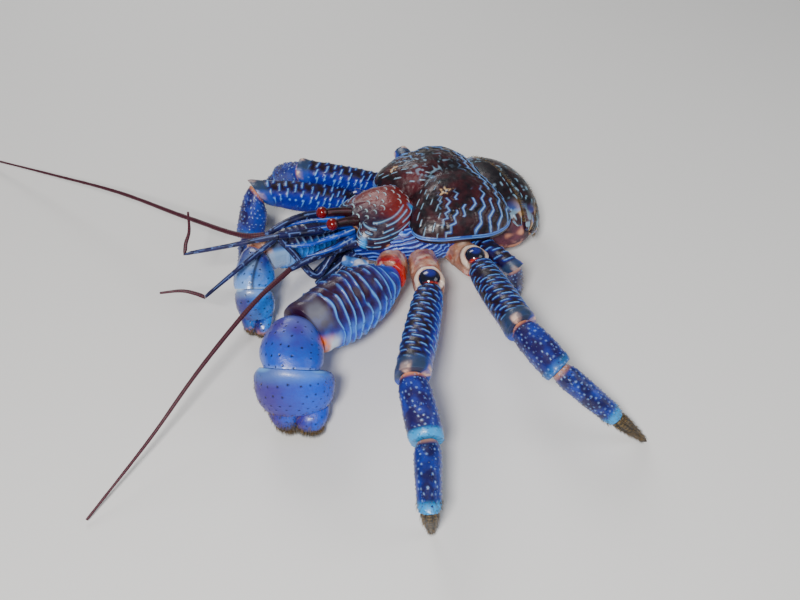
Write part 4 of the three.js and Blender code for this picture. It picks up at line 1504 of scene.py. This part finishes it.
@dataclass
class Abdomen:
    """The rounded rump with its plates, tail plate and soft belly."""

    centre: Array = field(default_factory=lambda: vec(ORIGIN_X, 0, 21.4))
    radii: Array = field(default_factory=lambda: vec(25, 36.5, 22))
    plate_depth: float = 3.2
    plates: tuple = ((-24, 14, 66), (15.5, 56, 75), (57.5, 98, 74))
    telson: tuple = (99.5, 128, 34)

    def at(self, alpha: Array, beta: Array, out: Array) -> Array:
        """A point on the rump, out from its skin: alpha runs from the top to the back, beta to the sides."""
        way = np.stack([np.sin(alpha) * np.cos(beta), np.sin(beta), np.cos(alpha) * np.cos(beta)], 1)
        return way * (self.radii + out[:, None]) + self.centre

    def build(self) -> list[bpy.types.Object]:
        """Builds the belly and the plates.

        Returns:
            The pieces.
        """
        pieces = [self.belly()]
        for index, extent in enumerate(self.plates, 1):
            pieces.append(self.plate(f"abdomen_plate_{index}", extent, float(index)))
        pieces.append(self.plate("abdomen_telson", self.telson, 9.0))
        return pieces

    def belly(self) -> bpy.types.Object:
        """Builds the soft, wrinkled belly.

        Returns:
            The piece.
        """
        mesh, turn, fall = ball_mesh("abdomen_belly", 150, 80)
        way = heading(turn, fall)
        points = way * self.radii + self.centre
        coat = Coat.bare(len(points))
        wrinkle = cloud(points * (1.0, 0.35, 1.0), 2.4, 41.0) - 0.5
        coat.height += 0.8 * wrinkle * ease(1.5, 6.0, points[:, 2])
        coat.lay("tone", cloud(points, 6.0, 42.0))
        coat.lay("warm", ease(0.62, 0.8, cloud(points, 5.0, 43.0)))
        coat.lay("line", 0.5 * ease(0.2, 0.4, wrinkle))
        return Surface("abdomen_belly_skin", mesh, points, coat).finish(SKIN, "abdomen_belly", "belly_skin")

    def plate(self, node: str, extent: tuple, seed: float) -> bpy.types.Object:
        """One plate, whose rear edge stands proud.

        Args:
            node: the node that it stands for.
            extent: from and to, down the back, and the reach to the sides, in degrees.
            seed: picks its markings.

        Returns:
            The piece.
        """
        first, last, reach = (math.radians(v) for v in extent)
        rows, rim = 140, 3
        mesh, station, column = tube_mesh(node, rows + 2 * rim, 72)
        share, _, shrink = closed_ends(station, rows, rim)
        beta = reach * (2 * share - 1)
        taper = np.sqrt(np.maximum(0.08, 1 - (beta / (reach * 1.04)) ** 4)) * shrink
        c, s = rounded(column / 72 * math.tau, 3.2)
        half = ((last - first) / 2 - 0.35 / self.radii[2] / 2) * taper
        proud = self.plate_depth * (0.62 + 0.38 * (c + 1) / 2)
        points = self.at((first + last) / 2 + c * half, beta, GAP + proud / 2 * (1 + s * shrink))
        coat = Coat.bare(len(points))
        upper = ease(0.0, 0.5, s)
        back = (c + 1) / 2
        lane = back * 4.0 + 1.1 * (cloud(points, 5.0, seed) - 0.5)
        row = np.mod(lane, 1.0) - 0.5
        cell = np.floor(points[:, 1] / 4.6 + 0.4 * np.floor(lane))
        dash = lot(np.floor(lane), cell, seed) > 0.5
        line = band(row, 0.05, 0.08) * band(
            np.mod(points[:, 1] / 4.6 + 0.4 * np.floor(lane), 1.0) - 0.5, 0.2, 0.25
        ) * dash * upper
        coat.lay("line", 0.7 * line)
        coat.height += 0.25 * line + 0.35 * (cloud(points, 3.0, seed) - 0.5) * upper
        flank = ease(0.45, 0.85, np.abs(beta) / reach)
        coat.lay("warm", 0.85 * ease(0.5, 0.9, back) * flank * ease(0.36, 0.5, cloud(points, 4.0, seed + 1)))
        coat.lay("line", 0.5 * flank * ease(0.55, 0.7, cloud(points, 3.0, seed + 3)) * upper)
        coat.lay("glow", 0.5 * flank * ease(0.5, 0.7, cloud(points, 5.0, seed + 4)) * upper)
        if node.endswith("1"):
            coat.lay("warm", ease(0.3, 0.1, back) * ease(0.35, 0.55, cloud(points, 7.0, 77.0)))
        coat.lay("tone", 0.5 * cloud(points, 8.0, seed + 2) * flank)
        return Surface(node + "_shell", mesh, points, coat).finish(MAROON, node, "shell_dark")


# ---- The head


@dataclass
class Feeler:
    """A feeler or mouthpart in one or more lengths along smooth curves."""

    lengths: list[tuple]

    def build(self) -> list[bpy.types.Object]:
        """Builds each length.

        Returns:
            The pieces.
        """
        curves = []
        for index, (_, points, *_) in enumerate(self.lengths):
            start = [self.lengths[index - 1][1][-1]] if index else []
            curves.append(self._even(centripetal([*start, *points], 400)))
        normals: list = [None] * (len(curves) + 1)
        for index in range(1, len(curves)):
            before = curves[index - 1][-1] - curves[index - 1][-2]
            after = curves[index][1] - curves[index][0]
            normals[index] = unit(unit(before) + unit(after))
        return [self._length(i, curves[i], normals[i], normals[i + 1]) for i in range(len(curves))]

    @staticmethod
    def _even(curve: Array) -> Array:
        """Spaces the points of a curve evenly.

        Args:
            curve: the points of the curve.

        Returns:
            The same curve with points at even steps.
        """
        run = np.concatenate([[0.0], np.cumsum(np.linalg.norm(np.diff(curve, axis=0), axis=1))])
        at = np.linspace(0, run[-1], 400)
        return np.stack([np.interp(at, run, curve[:, k]) for k in range(3)], 1)

    def _length(self, index: int, curve: Array, first: Array | None, last: Array | None) -> bpy.types.Object:
        """Builds one length.

        Args:
            index: which length.
            curve: its even curve.
            first: the way its first end faces, or None for square.
            last: the way its last end faces, or None for square.

        Returns:
            The piece.
        """
        name, _, (wide, narrow), marking, finish, slot = self.lengths[index]
        size = float(np.sum(np.linalg.norm(np.diff(curve, axis=0), axis=1)))
        rows = int(min(500, max(40, size / 0.4)))
        columns = 24 if wide < 2 else 48
        rim = 3
        mesh, station, column = tube_mesh(name, rows + 2 * rim, columns)
        share, over, shrink = closed_ends(station, rows, rim)
        steps = share * 399
        low = np.minimum(steps.astype(int), 398)
        part = (steps - low)[:, None]
        at = curve[low] * (1 - part) + curve[low + 1] * part
        turn = unit(np.gradient(curve, axis=0))
        turn = unit(turn[low] * (1 - part) + turn[low + 1] * part)
        reach = 2.5 * wide / size
        if first is not None:
            hold = ease(reach, 0.0, share)[:, None]
            turn = unit(turn * (1 - hold) + first * hold)
            at = at + first * (GAP / 2) * hold
        if last is not None:
            hold = ease(1 - reach, 1.0, share)[:, None]
            turn = unit(turn * (1 - hold) + last * hold)
            at = at - last * (GAP / 2) * hold
        across = unit(UP - turn * turn[:, 2:3])
        other = np.cross(turn, across)
        angle = column / columns * math.tau
        radius = (wide + (narrow - wide) * share) * shrink
        points = at + across * (np.cos(angle) * radius)[:, None] + other * (np.sin(angle) * radius)[:, None]
        site = Site(share, angle, size, math.tau * wide, points, float(len(name)))
        coat = site.coat(marking)
        coat.height *= 0.6 * (over <= 0)
        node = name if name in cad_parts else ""
        return Surface(name + "_skin", mesh, points, coat).finish(finish, node, slot)


VIOLET = "shell_violet"
RED = "feeler_red"
FEELERS = [
    [
        (
            "antennule_l",
            (
                (-50, -5, 42), (-62, -8, 38), (-77.5, -13.5, 27.5), (-80, -13, 28.5), (-88, -4, 43),
                (-94, 2, 52)
            ),
            (2.6, 1.9), Marking.PLAIN, STALK, VIOLET
        ),
        ("antennule_tip_l", ((-120, -6, 47), (-144.6, -13.9, 42)), (1.7, 1), Marking.PLAIN, STALK, VIOLET),
        (
            "antennule_brush_l", ((-149, -9.5, 43), (-154.6, -5.6, 44), (-165.8, -1.4, 44)), (1.2, 0.6),
            Marking.RINGS, FEELER, RED
        ),
    ],
    [
        (
            "antennule_r", ((-50, 3.5, 43), (-64, -1, 48), (-80, -5, 55), (-95.5, -4.6, 59)), (2.6, 1.9),
            Marking.PLAIN, STALK, VIOLET
        ),
        ("antennule_tip_r", ((-121, 7, 53), (-144.2, 17.7, 48)), (1.7, 1), Marking.PLAIN, STALK, VIOLET),
        (
            "antennule_brush_r", ((-142, 21, 52), (-137.9, 25.3, 56), (-134.1, 35, 62)), (1.2, 0.6),
            Marking.RINGS, FEELER, RED
        ),
    ],
    [
        (
            "antenna_base_l", ((-47, -11, 40), (-60, -13.5, 43), (-80, -16, 45), (-96, -19.7, 46)),
            (3.6, 1.7), Marking.PLAIN, STALK, VIOLET
        ),
        (
            "antenna_l", ((-122, -32.8, 45), (-163.2, -53, 32), (-199.2, -71.5, 16), (-241, -93, 2)),
            (1.5, 0.6), Marking.RINGS, FEELER, RED
        ),
    ],
    [
        (
            "antenna_base_r", ((-47, 9, 43), (-60, 11.5, 48), (-80, 9, 54.5), (-100, 5, 54)), (3.4, 1.7),
            Marking.PLAIN, STALK, VIOLET
        ),
        (
            "antenna_r", ((-110, 12, 52), (-131, 49, 45), (-159, 109, 32), (-191, 168, 17), (-226, 226, 4)),
            (1.5, 0.6), Marking.RINGS, FEELER, RED
        ),
    ],
    [
        (
            "maxilliped_l", ((-46, -6.4, 29), (-58, -7, 24), (-70, -6.6, 17), (-75, -5, 12)), (5, 2),
            Marking.PLAIN, STALK, VIOLET
        )
    ],
    [
        (
            "maxilliped_r", ((-46, 4.8, 28), (-58, 4.4, 21), (-68, 3, 13), (-72, 2, 8)), (4.8, 2),
            Marking.PLAIN, STALK, VIOLET
        )
    ],
    [
        (
            "head_scale_1", ((-50, -3, 47), (-66, -2.6, 51), (-79, 0, 51.5), (-93, 1.5, 51)), (2.2, 0.7),
            Marking.PLAIN, SCALE_BLUE, VIOLET
        )
    ],
    [
        (
            "head_scale_2", ((-52, 1, 49), (-68, 3.5, 53), (-82, 7, 53), (-95, 8.5, 52)), (2.0, 0.6),
            Marking.PLAIN, SCALE_BLUE, VIOLET
        )
    ],
    [
        (
            "head_scale_3", ((-50, -6, 45), (-66, -9, 48), (-80, -8.5, 48.5), (-92, -4.5, 49.5)), (2.3, 0.8),
            Marking.PLAIN, SCALE_BLUE, VIOLET
        )
    ],
    [
        (
            "head_scale_4", ((-49, -9, 42), (-60, -14.5, 46), (-72, -17, 47), (-84, -15.5, 47)), (2.4, 0.8),
            Marking.PLAIN, SCALE_BLUE, VIOLET
        )
    ],
    [
        (
            "mouth_palp_1", ((-46, -9, 31), (-58, -12, 28), (-68, -14, 22), (-74, -14, 17)), (3.2, 1.2),
            Marking.PLAIN, STALK, VIOLET
        )
    ],
    [
        (
            "mouth_palp_2", ((-46, -3, 32), (-60, -2.5, 28), (-70, -2, 22), (-78, -3, 18)), (3.0, 1.1),
            Marking.PLAIN, STALK, VIOLET
        )
    ],
    [
        (
            "mouth_plate",
            ((-61.9, -17.3, 35.5), (-59.0, -20.8, 36.0), (-55.1, -23.3, 35.5), (-50.6, -25.9, 34.5)),
            (3.1, 2.5), Marking.ROOT, PLATE_PALE, "shell_blue"
        )
    ],
    [
        (
            "eyestalk_l", ((-47, -4.6, 50), (-54, -5.4, 53), (-60.5, -6.6, 55)), (2.9, 2.5), Marking.PLAIN,
            EYE_STALK, "shell_dark"
        )
    ],
    [
        (
            "eyestalk_r", ((-47, 4.6, 50), (-55, 4.8, 53), (-61.5, 4.9, 55)), (2.9, 2.5), Marking.PLAIN,
            EYE_STALK, "shell_dark"
        )
    ],
]


@dataclass
class Eyes:
    """The two red eyes."""

    places: tuple = (("eye_l", (-63.2, -7, 56)), ("eye_r", (-64.2, 5, 56)))
    radius: float = 3.6

    def build(self) -> list[bpy.types.Object]:
        """Builds both eyes.

        Returns:
            The pieces.
        """
        pieces = []
        for name, place in self.places:
            mesh, turn, fall = ball_mesh(name, 72, 48)
            way = heading(turn, fall)
            points = way * self.radius + vec(*place)
            coat = Coat.bare(len(points))
            ahead = unit(vec(-1, -0.25, 0.45))
            facing = way @ ahead
            coat.lay("tone", ease(-0.3, 0.6, facing))
            coat.lay("pit", ease(-0.45, -0.75, facing))
            pieces.append(Surface(name + "_cornea", mesh, points, coat).finish(CORNEA, name, "eye_red"))
        return pieces


# ---- Studs and bristles


@dataclass
class Tufts:
    """Many small tapered pieces, spines or bristles, joined in one mesh."""

    name: str
    finish: ShellFinish
    slot: str
    sides: int = 3
    curl: float = 0.35
    roots: list[Array] = field(default_factory=list)
    ways: list[Array] = field(default_factory=list)
    leans: list[Array] = field(default_factory=list)
    sizes: list[Array] = field(default_factory=list)
    patches: list[Array] = field(default_factory=list)

    def grow(self, roots: Array, out: Array, along: Array, sizes: Array, patches: Array, lay: float) -> None:
        """Adds a patch of tufts.

        Args:
            roots: where they grow.
            out: the way out of the skin at each.
            along: the way that they lie at each.
            sizes: length and radius of each.
            patches: each root's place on the unwrapped skin, from 0 to 1.
            lay: 0 stands upright and 1 lies along the skin.
        """
        self.roots.append(roots)
        self.ways.append(unit(out * (1 - 0.75 * lay) + along * lay))
        self.leans.append(along)
        self.sizes.append(sizes)
        self.patches.append(patches)

    def build(self) -> bpy.types.Object:
        """Joins the tufts into one piece.

        Returns:
            The piece.
        """
        bm = bmesh.new()
        bmesh.ops.create_cone(bm, cap_ends=True, segments=self.sides, radius1=1.0, radius2=0.04, depth=1.0)
        rungs = [e for e in bm.edges if abs(e.verts[0].co.z - e.verts[1].co.z) > 0.5]
        bmesh.ops.subdivide_edges(bm, edges=rungs, cuts=1)
        bmesh.ops.recalc_face_normals(bm, faces=bm.faces[:])
        shape = np.array([v.co[:] for v in bm.verts])
        faces = [[v.index for v in f.verts] for f in bm.faces]
        bm.free()
        roots, ways, leans, sizes, patches = (
            np.concatenate(v) for v in (self.roots, self.ways, self.leans, self.sizes, self.patches)
        )
        first = unit(np.cross(ways, vec(0.31, 0.17, 0.94)))
        second = np.cross(ways, first)
        height = shape[:, 2] + 0.5
        count, each = len(roots), len(shape)
        points = (
            roots[:, None, :] + ways[:, None, :] * (height[None, :, None] * sizes[:, None, :1] - TUFT_SINK)
        )
        points = points + first[:, None, :] * (shape[None, :, :1] * sizes[:, None, 1:])
        points = points + second[:, None, :] * (shape[None, :, 1:2] * sizes[:, None, 1:])
        points = points + leans[:, None, :] * (self.curl * height[None, :, None] ** 2 * sizes[:, None, :1])
        points = points.reshape(-1, 3)
        mesh = bpy.data.meshes.new(self.name)
        mesh.from_pydata(
            [(0.0, 0.0, 0.0)] * (count * each), [],
            [[i + k * each for i in f] for k in range(count) for f in faces]
        )
        coat = Coat.bare(count * each)
        shade = lot(np.arange(count), np.arange(count) % 7, 3.0)
        coat.lay("tone", np.repeat(shade, each))
        coat.lay("line", np.tile(ease(0.4, 1.0, height), count) * 0.3)
        corners = np.zeros(len(mesh.loops), int)
        mesh.loops.foreach_get("vertex_index", corners)
        uv = mesh.uv_layers.new(name="OFBake")
        spread = np.tile(shape[:, :2] * TUFT_PATCH, (count, 1)) + np.repeat(patches, each, axis=0)
        uv.data.foreach_set("uv", spread[corners].astype(np.float32).ravel())
        return Surface(self.name, mesh, points, coat).finish(self.finish, "", self.slot)


@dataclass
class Grooming:
    """Sets studs and bristles on the finished limbs and the abdomen."""

    limbs: dict[str, Limb]
    seed: int = 7

    def __post_init__(self) -> None:
        """Starts the seeded draws."""
        self.draw = np.random.default_rng(self.seed)

    def strip(
        self, tufts: Tufts, limb: Limb, index: int, count: int, span: tuple, angles: tuple, length: tuple,
        radius: float, lay: float, tile: int
    ) -> None:
        """Grows tufts on one length of a limb.

        Args:
            tufts: the piece that they join.
            limb: the limb.
            index: which of its lengths.
            count: how many.
            span: from and to along the length.
            angles: from and to round it.
            length: shortest and longest.
            radius: at the root.
            lay: 0 upright, 1 along the skin.
            tile: which of the twelve strips of the unwrap the skin takes.
        """
        share = self.draw.uniform(*span, count)
        angle = self.draw.uniform(*angles, count)
        points, out, along = limb.place(index, share, np.mod(angle, math.tau))
        sizes = np.stack([self.draw.uniform(*length, count), radius * self.draw.uniform(0.8, 1.2, count)], 1)
        patches = np.stack(
            [(tile + 0.05 + 0.9 * np.mod(angle, math.tau) / math.tau) / 12, 0.02 + 0.96 * share], 1
        )
        tufts.grow(points, out, along, sizes, patches, lay)

    def build(self) -> list[bpy.types.Object]:
        """Builds every piece of studs and bristles.

        Returns:
            The pieces.
        """
        pieces = []
        for name, limb in self.limbs.items():
            if not name.startswith("leg"):
                continue
            tufts = Tufts(f"{name}_bristles", BRISTLE_FINISH, "claw_horn")
            if len(limb.lengths) == 5:
                self.strip(tufts, limb, 4, 420, (0.04, 0.9), (0, math.tau), (1.4, 2.6), 0.14, 0.75, 0)
                self.strip(tufts, limb, 3, 160, (0.84, 0.97), (0, math.tau), (1.2, 2.4), 0.12, 0.6, 1)
                self.strip(tufts, limb, 3, 160, (0.1, 0.85), (0, math.tau), (0.8, 1.6), 0.1, 0.5, 2)
                self.strip(tufts, limb, 2, 160, (0.1, 0.95), (0, math.tau), (0.8, 1.6), 0.1, 0.5, 3)
                self.strip(tufts, limb, 1, 160, (0.05, 0.9), (1.2, 5.1), (1.0, 2.4), 0.09, 0.4, 4)
                studs = Tufts(f"{name}_studs", LEG_KNUCKLE, "shell_violet", sides=7, curl=0.1)
                for index in (2, 3):
                    self.strip(
                        studs, limb, index, 26, (0.1, 0.92), (-0.75, 0.75), (0.9, 1.5), 0.62, 0.3, index
                    )
                pieces.append(studs.build())
            else:
                self.strip(tufts, limb, 1, 260, (0.2, 0.95), (0, math.tau), (1.2, 2.4), 0.12, 0.7, 0)
            pieces.append(tufts.build())
        for name in ("claw_l", "claw_r"):
            limb = self.limbs[name]
            size = 1.0 if name == "claw_l" else 0.65
            tufts = Tufts(f"{name}_bristles", BRISTLE_FINISH, "claw_horn")
            self.strip(
                tufts, limb, 3, int(260 * size), (0.86, 0.99), (0, math.tau), (1.0 * size, 2.0 * size), 0.11,
                0.7, 0
            )
            self.strip(
                tufts, limb, 3, int(160 * size), (0.1, 0.7), (2.4, 3.9), (0.8 * size, 1.6 * size), 0.12, 0.5,
                1
            )
            self.strip(
                tufts, limb, 3, int(160 * size), (0.1, 0.7), (-0.8, 0.8), (0.8 * size, 1.6 * size), 0.12, 0.5,
                2
            )
            self.strip(tufts, limb, 1, int(240 * size), (0.1, 0.85), (2.7, 3.9), (1.0, 2.2), 0.1, 0.4, 3)
            for tile, finger in enumerate(limb.finger_limbs()):
                self.strip(
                    tufts, finger, 0, int(900 * size), (0.5, 0.98), (0, math.tau), (1.4 * size, 3.0 * size),
                    0.15, 0.75, 4 + tile
                )
                self.strip(
                    tufts, finger, 0, int(220 * size), (0.08, 0.5), (0, math.tau), (1.0 * size, 2.2 * size),
                    0.12, 0.6, 6 + tile
                )
            pieces.append(tufts.build())
        pieces.append(self.rump())
        return pieces

    def rump(self) -> bpy.types.Object:
        """Grows bristles along the rear edges of the rump's plates.

        Returns:
            The piece.
        """
        abdomen = Abdomen()
        tufts = Tufts("rump_bristles", BRISTLE_FINISH, "claw_horn")
        for tile, (_, last, reach) in enumerate((*abdomen.plates, abdomen.telson)):
            count = 700 if tile < 3 else 300
            beta = math.radians(reach) * self.draw.uniform(-0.96, 0.96, count)
            alpha = np.full(count, math.radians(last - 1.5))
            roots = abdomen.at(alpha, beta, self.draw.uniform(1.2, 3.2, count))
            out = unit(roots - abdomen.centre)
            along = unit(
                abdomen.at(alpha + 0.02, beta, np.zeros(count)) - abdomen.at(alpha, beta, np.zeros(count))
            )
            sizes = np.stack([self.draw.uniform(1.2, 3.0, count), self.draw.uniform(0.08, 0.13, count)], 1)
            keep = roots[:, 2] > 3.0
            patches = np.stack([0.5 + beta / 3.6, np.full(count, (tile + 0.5) / 4)], 1)
            tufts.grow(roots[keep], out[keep], along[keep], sizes[keep], patches[keep], 0.7)
        return tufts.build()


# ---- The studio


@dataclass
class Studio:
    """A pale floor, soft light and the camera of the photo's view."""

    azimuth: float = -28.0
    elevation: float = 46.0
    lens: float = 42.0
    distance: float = 570.0
    target: Array = field(default_factory=lambda: vec(-32.0, -30.5, 0.0))

    def build(self) -> None:
        """Sets the camera, the floor and the lights."""
        a, e = math.radians(self.azimuth), math.radians(self.elevation)
        back = Vector((math.sin(a) * math.cos(e), -math.cos(a) * math.cos(e), math.sin(e)))
        aim = Vector((self.target - (ORIGIN_X, 0, 0)) * MM)
        camera = bpy.data.objects.new("camera", bpy.data.cameras.new("camera"))
        camera.data.lens = self.lens
        camera.data.sensor_width = 36.0
        camera.location = aim + back * self.distance * MM
        camera.rotation_euler = back.to_track_quat("Z", "Y").to_euler()
        bpy.context.scene.collection.objects.link(camera)
        bpy.context.scene.camera = camera
        self.floor()
        self.light("key", (-0.42, -0.52, 0.72), 0.16, 9.0, (1.0, 0.98, 0.96), aim)
        self.light("fill", (0.6, -0.5, 0.5), 0.5, 1.6, (0.9, 0.95, 1.0), aim)
        self.light("rim", (0.05, 0.7, 0.6), 0.35, 2.5, (1.0, 1.0, 1.0), aim)
        world = bpy.data.worlds.new("studio")
        world.use_nodes = True
        world.node_tree.nodes["Background"].inputs["Color"].default_value = (0.9, 0.92, 0.95, 1.0)
        world.node_tree.nodes["Background"].inputs["Strength"].default_value = 0.2
        bpy.context.scene.world = world

    def floor(self) -> None:
        """Lays the pale floor."""
        bm = bmesh.new()
        bmesh.ops.create_grid(bm, x_segments=2, y_segments=2, size=4.0)
        mesh = bpy.data.meshes.new("floor")
        bm.to_mesh(mesh)
        bm.free()
        material = bpy.data.materials.new("floor_pale")
        material.use_nodes = True
        shader = material.node_tree.nodes["Principled BSDF"]
        shader.inputs["Base Color"].default_value = (0.88, 0.87, 0.85, 1.0)
        shader.inputs["Roughness"].default_value = 0.85
        mesh.materials.append(material)
        ground = bpy.data.objects.new("floor", mesh)
        bpy.context.scene.collection.objects.link(ground)

    def light(self, name: str, place: tuple, size: float, power: float, colour: tuple, aim: Vector) -> None:
        """Hangs one soft light.

        Args:
            name: the light's name.
            place: where it hangs, in metres from the aim.
            size: its side.
            power: its power.
            colour: its colour.
            aim: the point it faces.
        """
        lamp = bpy.data.lights.new(name, "AREA")
        lamp.size = size
        lamp.energy = power
        lamp.color = colour
        hung = bpy.data.objects.new(name, lamp)
        hung.location = aim + Vector(place)
        hung.rotation_euler = Vector(place).to_track_quat("Z", "Y").to_euler()
        bpy.context.scene.collection.objects.link(hung)


def main() -> None:
    """Builds the studio and the crab, piece by piece."""
    logging.basicConfig(level=logging.INFO, format="%(message)s")
    Studio().build()
    Carapace().build()
    Abdomen().build()
    Eyes().build()
    for lengths in FEELERS:
        Feeler(lengths).build()
    limbs: dict[str, Limb] = {}
    for seed, (name, (size, joints)) in enumerate(LEGS.items()):
        limbs[name] = walking_leg(name, size, joints, 11.0 + seed)
    for seed, (name, joints) in enumerate(SMALL_LEGS.items()):
        limbs[name] = small_leg(name, joints, 21.0 + seed)
    limbs.update({claw.name: claw for claw in claws()})
    for limb in limbs.values():
        limb.build()
    Grooming(limbs).build()


if __name__ == "__main__":
    main()
